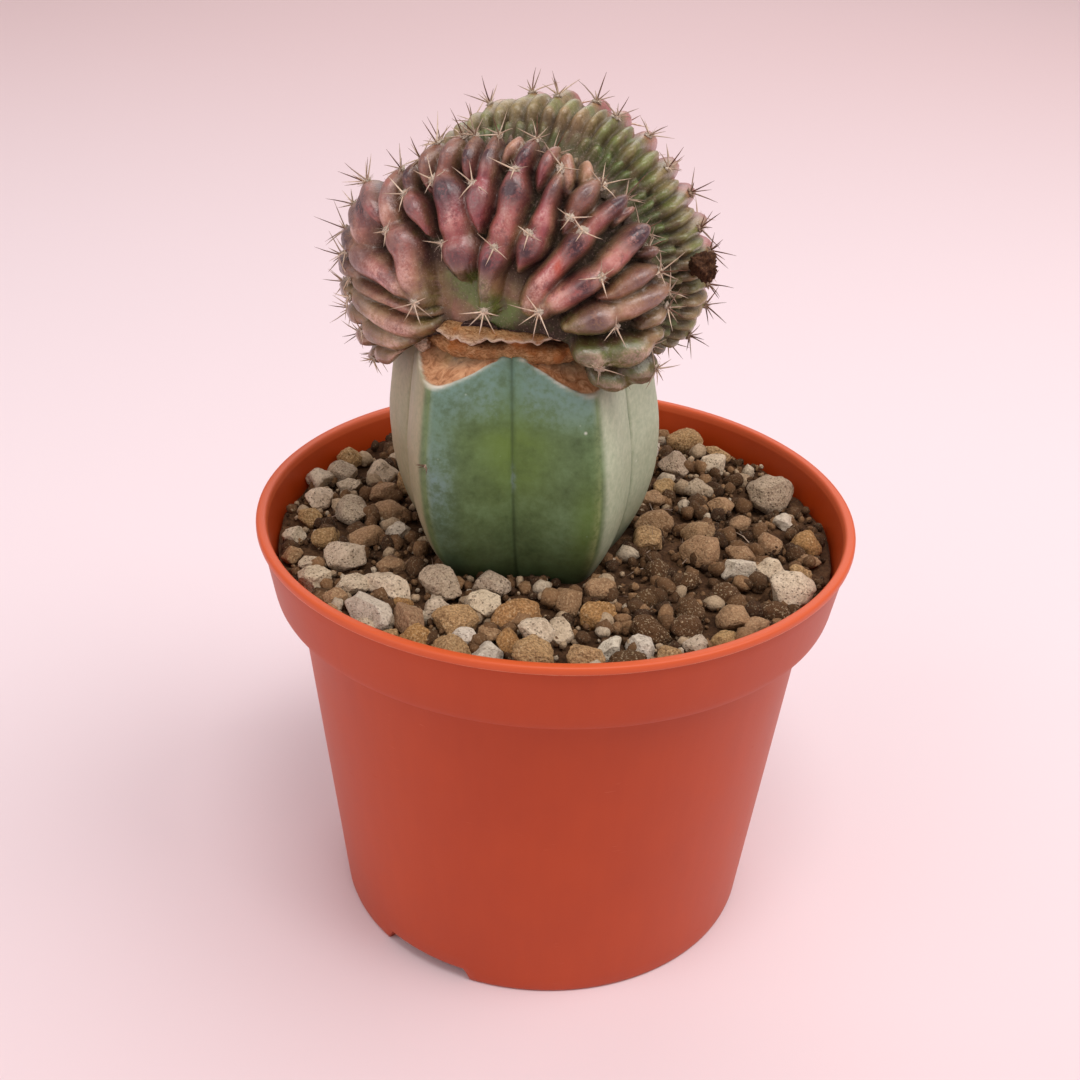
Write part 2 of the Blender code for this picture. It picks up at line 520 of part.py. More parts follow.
def back_rib(angle, pitch, law, areoles):
    reach = float(outline_radius(np.array(angle), 1.0))
    spoke = np.array((sin(angle), cos(angle)))
    points = [tuple(spoke * reach * share) for share, _ in law]
    widths = [reach * share * pitch * wide for share, wide in law]
    return points, widths, [tuple(spoke * reach * share) for share in areoles]


def rib_height(across, up, ribs):
    """Height of the ribs over the valleys between them, as a share of RIB_DEPTH, for arrays of places."""
    best = np.zeros_like(across)
    for points, widths, _ in ribs:
        path = smooth_path(points, widths)
        slope = np.gradient(path, axis=0)
        slope /= np.linalg.norm(slope[:, :2], axis=1, keepdims=True)
        tangent = slope[:, :2]
        gaps = np.hypot(across[..., None] - path[:, 0], up[..., None] - path[:, 1])
        nearest = np.argmin(gaps / path[:, 2], axis=-1)
        off = np.stack((across - path[nearest, 0], up - path[nearest, 1]), axis=-1)
        slide = np.clip((off * tangent[nearest]).sum(axis=-1), -PATH_STEP, PATH_STEP)
        slide = np.where((nearest == 0) | (nearest == len(path) - 1), 0, slide)
        distance = np.linalg.norm(off - slide[..., None] * tangent[nearest], axis=-1)
        width = path[nearest, 2] + slide * slope[nearest, 2]
        height = np.clip(1 - (distance / (width * RIB_REACH)) ** 2, 0, 1) ** RIB_ROUND
        size = 0.45 + 0.55 * np.clip(width / 3.4, 0, 1)
        best = np.maximum(best, height * size)
    return best


def rib_start(fan, around):
    """How far the ribs have risen beside the growth line, from 0 to 1."""
    off = np.degrees(around - growth_line(fan))
    front = (-off - FRONT_RIB_START[0]) / FRONT_RIB_START[1]
    back = (off - BACK_RIB_START[0]) / BACK_RIB_START[1]
    share = np.clip(np.where(off < 0, front, back), 0, 1)
    return 0.2 + 0.8 * share * share * (3 - 2 * share)


def crest_body():
    """Ribbed fan as a closed grid with a pole in front and one behind."""
    fan = np.linspace(-pi, pi, CREST_COLUMNS, endpoint=False)
    around = np.radians(np.linspace(-86, 86, CREST_ROWS))
    fan_grid, around_grid = np.meshgrid(fan, around)
    across, up = face_place(fan_grid, around_grid)
    in_front = around_grid < growth_line(fan_grid)
    front = rib_height(across, up, FRONT_RIBS)
    back = rib_height(across, up, back_ribs())
    height = np.where(in_front, front, back) * rib_start(fan_grid, around_grid)
    places = crest_surface(fan_grid, around_grid)
    places = places - crest_normal(fan_grid, around_grid) * (RIB_DEPTH * (1 - height))[..., None]
    bm = bmesh.new()
    rings = [[bm.verts.new(p) for p in row] for row in places]
    for low, high in zip(rings, rings[1:]):
        for k in range(CREST_COLUMNS):
            bm.faces.new((low[k - 1], low[k], high[k], high[k - 1]))
    for ring in (rings[0], rings[-1]):
        middle = bm.verts.new(sum((v.co for v in ring), Vector()) / len(ring))
        for k in range(CREST_COLUMNS):
            bm.faces.new((ring[k - 1], ring[k], middle))
    bmesh.ops.recalc_face_normals(bm, faces=bm.faces)
    body = object_from(bm, "crest")
    even = body.modifiers.new("Even surface", "REMESH")      # where the flanks of two ribs meet, they become one
    even.mode = "VOXEL"
    even.voxel_size = CREST_GRAIN * MM
    apply_modifiers(body)
    decimate = body.modifiers.new("Fewer faces", "DECIMATE")
    decimate.ratio = CREST_TRIANGLES / sum(len(face.vertices) - 2 for face in body.data.polygons)
    apply_modifiers(body)
    return body


def saddle_cutter():
    """The hollow for the graft, right through the crest from front to back."""
    across_axis = Vector((cos(CREST_TURN), -sin(CREST_TURN), 0))
    front_axis = Vector((-sin(CREST_TURN), -cos(CREST_TURN), 0))
    bm = bmesh.new()
    start = CREST_CENTRE + front_axis * (FRONT_DEPTH + 5)
    verts = [bm.verts.new(start + across_axis * across + Vector((0, 0, up))) for across, up in SADDLE]
    face = bm.faces.new(verts)
    end = bmesh.ops.extrude_face_region(bm, geom=[face])["geom"]
    length = FRONT_DEPTH + BACK_DEPTH + 10
    bmesh.ops.translate(bm, vec=-front_axis * length, verts=[v for v in end if isinstance(v, bmesh.types.BMVert)])
    bmesh.ops.recalc_face_normals(bm, faces=bm.faces)
    return object_from(bm, "saddle_cutter")


def spine(root, tip):
    """Three-sided needle from inside the flesh to its tip."""
    along = tip - root
    bm = bmesh.new()
    bmesh.ops.create_cone(bm, cap_ends=True, segments=3, radius1=SPINE_RADIUS, radius2=0, depth=along.length)
    turn = Vector((0, 0, 1)).rotation_difference(along).to_matrix().to_4x4()
    bmesh.ops.transform(bm, matrix=Matrix.Translation((root + tip) / 2) @ turn, verts=bm.verts)
    bmesh.ops.remove_doubles(bm, verts=bm.verts, dist=0.001)
    return object_from(bm, "spine")


def clear_of_graft(point):
    """Whether a point is outside the hollow for the graft, by SPINE_CLEARANCE."""
    step = Vector(point) - CREST_CENTRE
    across = step.x * cos(CREST_TURN) - step.y * sin(CREST_TURN)
    corners = [Vector(corner) for corner in SADDLE]
    place = Vector((across, step.z))
    inside = False
    for start, end in zip(corners, corners[1:] + corners[:1]):
        if (start.y > place.y) != (end.y > place.y):
            crossing = start.x + (end.x - start.x) * (place.y - start.y) / (end.y - start.y)
            inside = inside != (place.x < crossing)
        along = end - start
        nearest = start + along * min(max((place - start).dot(along) / along.length_squared, 0), 1)
        if (place - nearest).length < SPINE_CLEARANCE:
            return False
    return not inside


def crest_spines(body):
    skin = BVHTree.FromPolygons(
        [vert.co / MM for vert in body.data.vertices], [tuple(face.vertices) for face in body.data.polygons]
    )
    draw = np.random.default_rng(SPINE_SEED)
    spines = []
    for side, ribs in ((-1, FRONT_RIBS), (1, back_ribs())):
        for _, _, areoles in ribs:
            for across, up in areoles:
                fan, around = angles_at(across, up, side)
                place = Vector(crest_surface(np.array(fan), np.array(around)))
                normal = Vector(crest_normal(np.array(fan), np.array(around)))
                place = skin.ray_cast(place + normal, -normal)[0] or place
                tangent = normal.orthogonal().normalized()
                start = draw.uniform(0, 360)
                count = 2 if len(spines) % 3 else 1
                for k in range(count):
                    spread = Matrix.Rotation(radians(start + 360 * k / count), 3, normal) @ tangent
                    lean = radians(draw.uniform(50, 70))
                    way = normal * cos(lean) + spread * sin(lean)
                    foot = place - normal * SPINE_ROOT
                    tip = place + way * draw.uniform(*SPINE_LENGTHS)
                    if clear_of_graft(foot) and clear_of_graft(tip) and clear_of_graft((foot + tip) / 2):
                        spines.append(spine(foot, tip))
    return spines


def dried_flower():
    """Crumpled remnant of a flower."""
    fan, around = np.array(radians(FLOWER_ANGLE)), np.array(radians(FLOWER_ROUND))
    place = Vector(crest_surface(fan, around)) + Vector(crest_normal(fan, around)) * (FLOWER_SIZE * 0.3)
    bm = bmesh.new()
    bmesh.ops.create_icosphere(bm, subdivisions=2, radius=FLOWER_SIZE)
    for vert in bm.verts:
        vert.co *= 1 + 0.55 * noise.noise(vert.co * 0.9)
    bmesh.ops.translate(bm, vec=place, verts=bm.verts)
    return object_from(bm, "dried_flower")


def make_crest():
    crest = crest_body()
    spines = crest_spines(crest)
    cutters = [
        saddle_cutter(), object_from(stock_mesh(GAP), "stock_space"), object_from(callus_mesh(GAP), "callus_space"),
    ]
    boolean(crest, cutters, "DIFFERENCE")
    boolean(crest, spines + [dried_flower()], "UNION")
    finish(crest, material("crest skin", (0.25, 0.1, 0.1), 0.55), 50)
    return crest


def inner_radius(z):
    """Inner radius of the pot."""
    step = COLLAR_BOTTOM - 0.8
    if z < step:
        return wall_radius(z) - WALL
    if z < COLLAR_BOTTOM + 1:
        share = (z - step) / 1.8
        return (WALL_TOP_RADIUS + (COLLAR_BOTTOM_RADIUS - WALL_TOP_RADIUS) * share) - WALL
    return collar_radius(z) - WALL


def soil_body():
    """The mix in the pot: a turned block with an uneven top."""
    floor = FOOT_HEIGHT + WALL + GAP
    side_gap = GAP + 0.25            # the flats of the pot's inner side come in by 0.1 mm
    sides = 40
    levels = (floor, COLLAR_BOTTOM - 1.3, COLLAR_BOTTOM + 0.9, SOIL_TOP - 1)
    bm = bmesh.new()
    rings = []
    for z in levels:
        shy = 0.5 if z in (levels[0], levels[2]) else 0
        radius = inner_radius(z) - side_gap - shy
        rings.append([bm.verts.new(direction(360 * k / sides) * radius + Vector((0, 0, z))) for k in range(sides)])
    outer = inner_radius(SOIL_TOP) - side_gap
    for share in (0.97, 0.82, 0.66, 0.5, 0.3):
        ring = []
        for k in range(sides):
            flat = direction(360 * k / sides) * outer * share
            ring.append(bm.verts.new(flat + Vector((0, 0, SOIL_TOP + 0.7 * noise.noise(flat * 0.16)))))
        rings.append(ring)
    for low, high in zip(rings, rings[1:]):
        bmesh.ops.bridge_loops(bm, edges=loop_edges(bm, low) + loop_edges(bm, high))
    bm.faces.new(rings[0])
    bm.faces.new(rings[-1])
    bmesh.ops.recalc_face_normals(bm, faces=bm.faces)
    bmesh.ops.triangulate(bm, faces=bm.faces)
    return object_from(bm, "soil")


def all_stones(draw):
    """The listed stones, and more of them behind wherever they find room."""
    stones = list(STONES)
    reach = inner_radius(SOIL_TOP) - 0.8
    middle = stock_axis(SOIL_TOP).xy.to_3d()
    for _ in range(20000):
        if len(stones) == len(STONES) + MORE_STONES:
            break
        size = draw.uniform(*MORE_STONE_SIZES)
        place = direction(draw.uniform(70, 290)) * reach * sqrt(draw.uniform(0, 1))
        near_stock = (place - middle).length < stock_radius(SOIL_TOP) + size * 0.55
        near_rim = place.length > reach - size * 0.6
        crowded = any(
            hypot(place.x - across, place.y - back) < 0.47 * (size + length) for across, back, length, *_ in stones
        )
        if not (near_stock or near_rim or crowded):
            stones.append((place.x, place.y, size, size * draw.uniform(0.72, 0.92), draw.uniform(0, 180)))
    return stones


def stone(across, back, length, width, turn, draw):
    bm = bmesh.new()
    bmesh.ops.create_icosphere(bm, subdivisions=1, radius=0.5)
    for vert in bm.verts:
        vert.co *= draw.uniform(1, 1.24)
    shape = Matrix.Diagonal((length, width, width * STONE_HEIGHT, 1))
    turned_shape = Matrix.Rotation(radians(turn), 4, "Z") @ Matrix.Rotation(draw.uniform(-0.3, 0.3), 4, "X") @ shape
    height = SOIL_TOP + width * draw.uniform(0.2, 0.4)
    bmesh.ops.transform(bm, matrix=Matrix.Translation((across, back, height)) @ turned_shape, verts=bm.verts)
    excess = max(v.co.xy.length - (inner_radius(v.co.z) - STONE_WALL_GAP) for v in bm.verts)
    if excess > 0:
        inwards = Vector((-across, -back, 0)).normalized()
        bmesh.ops.translate(bm, vec=inwards * excess, verts=bm.verts)
    return object_from(bm, "stone")


def make_soil():
    draw = np.random.default_rng(STONE_SEED)
    soil = soil_body()
    boolean(soil, [stone(*measures, draw) for measures in all_stones(draw)], "UNION")
    boolean(soil, [object_from(stock_mesh(GAP), "stock_space")], "DIFFERENCE")
    finish(soil, material("potting mix", (0.2, 0.13, 0.08), 0.95))
    return soil


clear_scene()
make_pot()
make_soil()
make_stock()
make_callus()
make_crest()
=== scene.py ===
from math import cos, hypot, pi, radians, sin, sqrt

import bmesh
import bpy
import numpy as np
from mathutils import Matrix, Vector, noise
from mathutils.bvhtree import BVHTree


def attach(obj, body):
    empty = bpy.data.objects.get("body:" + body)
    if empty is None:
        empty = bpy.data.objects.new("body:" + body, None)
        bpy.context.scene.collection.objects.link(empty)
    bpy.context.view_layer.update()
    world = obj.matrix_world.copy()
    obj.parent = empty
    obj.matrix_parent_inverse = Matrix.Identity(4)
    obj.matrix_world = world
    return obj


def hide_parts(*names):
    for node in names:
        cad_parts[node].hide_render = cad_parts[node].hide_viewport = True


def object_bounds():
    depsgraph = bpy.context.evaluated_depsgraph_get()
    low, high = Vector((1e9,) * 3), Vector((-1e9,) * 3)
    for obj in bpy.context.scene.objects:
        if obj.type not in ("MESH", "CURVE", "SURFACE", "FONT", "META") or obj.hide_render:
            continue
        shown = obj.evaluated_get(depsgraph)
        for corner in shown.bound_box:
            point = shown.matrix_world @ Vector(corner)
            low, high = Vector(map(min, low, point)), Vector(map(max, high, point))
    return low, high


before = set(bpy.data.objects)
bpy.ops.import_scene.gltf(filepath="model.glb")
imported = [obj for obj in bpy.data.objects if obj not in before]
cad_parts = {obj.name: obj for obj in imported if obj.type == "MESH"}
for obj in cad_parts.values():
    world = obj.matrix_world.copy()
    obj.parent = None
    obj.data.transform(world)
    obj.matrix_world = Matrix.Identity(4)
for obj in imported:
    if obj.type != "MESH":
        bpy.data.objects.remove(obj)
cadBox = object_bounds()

# A grafted, crested gymnocalycium in a plastic nursery pot. Sizes are in millimetres until a piece is made.
mm = 0.001


class Wire:  # an output socket that can be reckoned with
    def __init__(self, finish, socket):
        self.finish = finish
        self.socket = socket

    def maths(self, operation, *values, **settings):
        settings["operation"] = operation
        return self.finish.node("ShaderNodeMath", settings, dict(enumerate(values)))

    def __add__(self, other):
        return self.maths("ADD", self, other)

    def __radd__(self, other):
        return self.maths("ADD", other, self)

    def __sub__(self, other):
        return self.maths("SUBTRACT", self, other)

    def __rsub__(self, other):
        return self.maths("SUBTRACT", other, self)

    def __mul__(self, other):
        return self.maths("MULTIPLY", self, other)

    def __rmul__(self, other):
        return self.maths("MULTIPLY", other, self)

    def clamped(self):
        return self.maths("ADD", self, 0.0, use_clamp=True)


def paint(red, green, blue):  # a colour as a screen shows it, in 0 to 255
    shares = (red / 255, green / 255, blue / 255)
    return tuple(s / 12.92 if s < 0.04045 else ((s + 0.055) / 1.055) ** 2.4 for s in shares) + (1,)


class Finish:  # one material and its nodes, with its piece's colours by their names
    def __init__(self, name, look, **constants):
        self.look = {title: paint(*colour) for title, colour in look.items()}
        self.material = bpy.data.materials.new(name)
        self.material.use_nodes = True
        self.tree = self.material.node_tree
        self.shader = self.tree.nodes["Principled BSDF"]
        for socketName, value in constants.items():
            self.shader.inputs[socketName.replace("_", " ")].default_value = value

    def named(self, value):
        return self.look[value] if isinstance(value, str) else value

    def node(self, kind, settings=None, sockets=None, output=0):
        new = self.tree.nodes.new(kind)
        for key, value in (settings or {}).items():
            if key == "stops":
                while len(new.color_ramp.elements) < len(value):
                    new.color_ramp.elements.new(0.5)
                for element, (position, colour) in zip(new.color_ramp.elements, value):
                    element.position = position
                    element.color = self.named(colour)
            else:
                setattr(new, key, value)
        for key, value in (sockets or {}).items():
            if isinstance(value, Wire):
                self.tree.links.new(value.socket, new.inputs[key])
            else:
                new.inputs[key].default_value = self.named(value)
        return Wire(self, new.outputs[output])

    def into(self, socketName, wire):
        self.tree.links.new(wire.socket, self.shader.inputs[socketName])

    def place(self, stretch=(1, 1, 1)):  # object coordinates in millimetres
        spot = self.node("ShaderNodeTexCoord", output=3)
        scale = tuple(1000 * s for s in stretch)
        return self.node("ShaderNodeVectorMath", {"operation": "MULTIPLY"}, {0: spot, 1: scale})

    def noise(self, size, detail=3, roughness=0.55, distortion=0, stretch=(1, 1, 1)):
        sockets = {"Vector": self.place(stretch), "Scale": 1 / size, "Detail": detail, "Roughness": roughness,
                   "Distortion": distortion}
        return self.node("ShaderNodeTexNoise", None, sockets)

    def cells(self, size):
        return self.node("ShaderNodeTexVoronoi", {"feature": "F1"}, {"Vector": self.place(), "Scale": 1 / size})

    def mask(self, name):
        return self.node("ShaderNodeAttribute", {"attribute_name": name}, output=2)

    def tint(self, name):
        return self.node("ShaderNodeAttribute", {"attribute_name": name}, output=0)

    def between(self, value, low, high, to=(0, 1)):  # smooth step from one number to another
        settings = {"interpolation_type": "SMOOTHSTEP"}
        return self.node("ShaderNodeMapRange", settings, {0: value, 1: low, 2: high, 3: to[0], 4: to[1]})

    def ramp(self, value, stops):
        return self.node("ShaderNodeValToRGB", {"stops": stops}, {0: value})

    def mix(self, share, first, second, blend="MIX"):
        settings = {"data_type": "RGBA", "blend_type": blend}
        return self.node("ShaderNodeMix", settings, {0: share, 6: first, 7: second}, 2)

    def cover(self, base, *layers):
        # a layer's name is that of its mask and its colour, and a pattern between two numbers breaks it up
        for name, pattern, low, high, shares in layers:
            base = self.mix(self.mask(name) * self.between(pattern, low, high, shares), base, name)
        return base

    def bump(self, height, distance, strength=1.0):  # distance in millimetres
        sockets = {"Height": height, "Distance": distance * mm, "Strength": strength}
        self.into("Normal", self.node("ShaderNodeBump", None, sockets))


def makePiece(bm, name, finish, node):
    bmesh.ops.scale(bm, vec=(mm, mm, mm), verts=bm.verts)
    mesh = bpy.data.meshes.new(name)
    bm.to_mesh(mesh)
    bm.free()
    mesh.materials.append(finish.material)
    mesh.shade_smooth()
    piece = bpy.data.objects.new(name, mesh)
    bpy.context.scene.collection.objects.link(piece)
    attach(piece, "root")
    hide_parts(node)
    return piece


def places(bm):
    return np.array([v.co for v in bm.verts])


def moveAll(bm, spots):
    for vert, spot in zip(bm.verts, spots):
        vert.co = spot


def addMask(piece, name, values):
    layer = piece.data.attributes.new(name, "FLOAT", "POINT")
    layer.data.foreach_set("value", np.asarray(values, dtype=np.float32))


def addTint(piece, name, colours):
    layer = piece.data.attributes.new(name, "FLOAT_COLOR", "POINT")
    layer.data.foreach_set("color", np.asarray(colours, dtype=np.float32).ravel())


def stamp(bm, template):  # adds a copy of a mesh and returns its vertices
    bm.from_mesh(template)
    return list(bm.verts)[-len(template.vertices):]


def templateMesh(bm, name):
    mesh = bpy.data.meshes.new(name)
    bm.to_mesh(mesh)
    bm.free()
    return mesh


def ball(subdivisions, radius):
    bm = bmesh.new()
    bmesh.ops.create_icosphere(bm, subdivisions=subdivisions, radius=radius)
    return templateMesh(bm, "ball")


def direction(angle):  # level, in degrees from the front towards the right
    return Vector((sin(radians(angle)), -cos(radians(angle)), 0))


def turnedBody(profile, steps):  # closed or pole-ended profile of radius and height, turned round the upright axis
    bm = bmesh.new()
    verts = [bm.verts.new((radius, 0, height)) for radius, height in profile]
    edges = [bm.edges.new(pair) for pair in zip(verts, verts[1:])]
    if profile[0][0] > 0:
        edges.append(bm.edges.new((verts[-1], verts[0])))
    bmesh.ops.spin(bm, geom=verts + edges, cent=(0, 0, 0), axis=(0, 0, 1), angle=2 * pi, steps=steps, use_merge=True)
    bmesh.ops.remove_doubles(bm, verts=bm.verts, dist=0.0005)
    bmesh.ops.recalc_face_normals(bm, faces=bm.faces)
    return bm


lattice = np.random.default_rng(5).uniform(-1, 1, (32, 32, 32))


def wobble(spots, size, seed=0.0):  # smooth noise between -1 and 1 at many places
    at = np.asarray(spots, dtype=float) / size + seed * np.array((1, 0.37, -0.71))
    cell = np.floor(at).astype(int)
    share = at - cell
    share = share * share * (3 - 2 * share)
    total = np.zeros(len(at))
    for corner in ((x, y, z) for x in (0, 1) for y in (0, 1) for z in (0, 1)):
        weight = np.prod(np.where(corner, share, 1 - share), axis=1)
        i, j, k = ((cell + corner) % 32).T
        total += weight * lattice[i, j, k]
    return total


def softNoise(spots):  # the part's own noise, where a form has to follow it
    return np.array([noise.noise(Vector(spot)) for spot in spots])


def smoothStep(values, low, high):
    share = np.clip((values - low) / (high - low), 0, 1)
    return share * share * (3 - 2 * share)


def hump(values, middle, width):
    return np.exp(-((values - middle) / width) ** 2)


# fitted to the pot's outline in the photograph
photoCamera = {"pitch": 0.5018, "yaw": -0.0053, "roll": 0.0352, "place": (-1.105, -197.267, 166.105), "lens": 51.62}


def makeCamera():
    pitch, yaw, roll = (photoCamera[name] for name in ("pitch", "yaw", "roll"))
    forward = Vector((sin(yaw) * cos(pitch), cos(yaw) * cos(pitch), -sin(pitch)))
    level = forward.cross(Vector((0, 0, 1))).normalized()
    upright = level.cross(forward)
    right = cos(roll) * level + sin(roll) * upright
    up = cos(roll) * upright - sin(roll) * level
    lens = bpy.data.cameras.new("photoCamera")
    lens.lens = photoCamera["lens"]
    lens.sensor_width = 36
    lens.clip_start = 0.01
    camera = bpy.data.objects.new("photoCamera", lens)
    turn = Matrix((right, up, -forward)).transposed().to_4x4()
    camera.matrix_world = Matrix.Translation(Vector(photoCamera["place"]) * mm) @ turn
    bpy.context.scene.collection.objects.link(camera)
    bpy.context.scene.camera = camera
    bpy.context.scene.view_settings.view_transform = "Standard"  # colours as the photograph shows them


lights = {
    "key": {"place": (0.55, -0.15, 0.75), "size": 0.7, "power": 4.0, "colour": (1.0, 0.97, 0.95)},
    "fill": {"place": (-0.7, -0.5, 0.6), "size": 0.9, "power": 2.6, "colour": (1.0, 0.95, 0.96)},
    "top": {"place": (0.06, -0.3, 0.9), "size": 0.32, "power": 2.3, "colour": (1.0, 0.98, 0.97)},
    "behind": {"place": (0.1, 0.8, 0.7), "size": 0.9, "power": 2.2, "colour": (1.0, 0.96, 0.96)},
}
# painted light on the floor: lighter across the middle, darker towards the front and the back
floorPaintedShadeLook = {"front": (228, 206, 210), "middle": (240, 222, 227), "back": (234, 206, 208)}
worldLight = {"colour": (1.0, 0.93, 0.93, 1), "strength": 0.47}


def makeLights():
    for name, says in lights.items():
        lamp = bpy.data.lights.new(name + "Light", "AREA")
        lamp.shape = "DISK"
        lamp.size = says["size"]
        lamp.energy = says["power"]
        lamp.color = says["colour"]
        holder = bpy.data.objects.new(name + "Light", lamp)
        spot = Vector(says["place"])
        aim = Vector((0, 0, 0.06)) - spot
        holder.matrix_world = Matrix.Translation(spot) @ aim.to_track_quat("-Z", "Y").to_matrix().to_4x4()
        bpy.context.scene.collection.objects.link(holder)
    world = bpy.data.worlds.new("softRoom")
    world.use_nodes = True
    world.node_tree.nodes["Background"].inputs["Color"].default_value = worldLight["colour"]
    world.node_tree.nodes["Background"].inputs["Strength"].default_value = worldLight["strength"]
    bpy.context.scene.world = world


def makeFloor():
    finish = Finish("pinkPaper", floorPaintedShadeLook, Roughness=0.8, Specular_IOR_Level=0.2)
    spot = finish.node("ShaderNodeTexCoord", output=3)
    depth = finish.node("ShaderNodeSeparateXYZ", None, {0: spot}, 1)
    # painted light: lighter in the middle, darker towards the front and the back
    near = finish.mix(finish.between(depth, -0.12, 0.08), "front", "middle")
    colour = finish.mix(finish.between(depth, 0.1, 0.75), near, "back")
    finish.into("Base Color", colour)
    bm = bmesh.new()
    bmesh.ops.create_grid(bm, x_segments=1, y_segments=1, size=6)
    mesh = bpy.data.meshes.new("floor")
    bm.to_mesh(mesh)
    bm.free()
    mesh.materials.append(finish.material)
    floor = bpy.data.objects.new("floor", mesh)
    bpy.context.scene.collection.objects.link(floor)


pot = {
    "rimRadius": 42.5, "height": 63.8, "collarBottom": 53.2, "collarRadius": 40.3, "wallTop": 37.2,
    "baseRadius": 31.2, "wall": 1.2, "lip": 1.2, "footHeight": 2.5, "footRing": 1.4, "steps": 192,
    "notchAngles": (-33, 147), "notchSpan": 27, "holeRadius": 2.5, "holeRing": 17, "soilTop": 59,
}
# the lip colour is painted light: the lip and rim are painted a brighter orange than the wall below
potLook = {"dark": (175, 57, 4), "light": (185, 64, 9), "scratch": (214, 122, 90), "lip": (216, 92, 46),
           "worn": (244, 184, 140)}


def wallRadius(height):
    return pot["baseRadius"] + (pot["wallTop"] - pot["baseRadius"]) * height / pot["collarBottom"]


def collarRadius(height):
    share = (height - pot["collarBottom"]) / (pot["height"] - pot["collarBottom"])
    return pot["collarRadius"] + (pot["rimRadius"] - 0.35 - pot["collarRadius"]) * share


def innerRadius(height):
    step = pot["collarBottom"] - 0.8
    if height < step:
        return wallRadius(height) - pot["wall"]
    if height < pot["collarBottom"] + 1:
        share = (height - step) / 1.8
        return pot["wallTop"] + (pot["collarRadius"] - pot["wallTop"]) * share - pot["wall"]
    return collarRadius(height) - pot["wall"]


def plasticFinish():
    finish = Finish("terracottaPlastic", potLook, Roughness=0.42, Specular_IOR_Level=0.42)
    spot = finish.node("ShaderNodeTexCoord", output=3)
    height = finish.node("ShaderNodeSeparateXYZ", None, {0: spot}, 2) * 1000
    cloud = finish.noise(16, 3)
    grain = finish.noise(0.3, 2)
    streak = finish.noise(2.2, 3, stretch=(1, 1, 0.12))
    base = finish.ramp(cloud * 0.7 + streak * 0.3, [(0.3, "dark"), (0.7, "light")])
    scratch = finish.between(finish.noise(0.7, 3, 0.6, stretch=(0.25, 0.25, 2.5)), 0.66, 0.74)
    patches = finish.between(finish.noise(9, 2), 0.55, 0.7)
    base = finish.mix(scratch * patches * 0.3, base, "scratch")
    # painted light: a brighter orange over the lip and rim
    base = finish.mix(finish.between(height, 62.5, 62.9) * 0.8, base, "lip")
    ragged = height + finish.noise(1.4, 3) * 0.16
    line = finish.between(ragged, 62.44, 62.6) * finish.between(ragged, 62.74, 62.92, (1, 0))
    worn = line * finish.between(finish.noise(3.5, 4), 0.3, 0.5, (0.25, 1)) * finish.mask("outside")
    base = finish.mix(worn * 0.8, base, "worn")
    finish.into("Base Color", base)
    finish.into("Roughness", 0.38 + 0.1 * cloud + 0.1 * scratch)
    finish.bump(grain * 0.5 + streak * 0.3 + worn, 0.04, 0.5)
    return finish


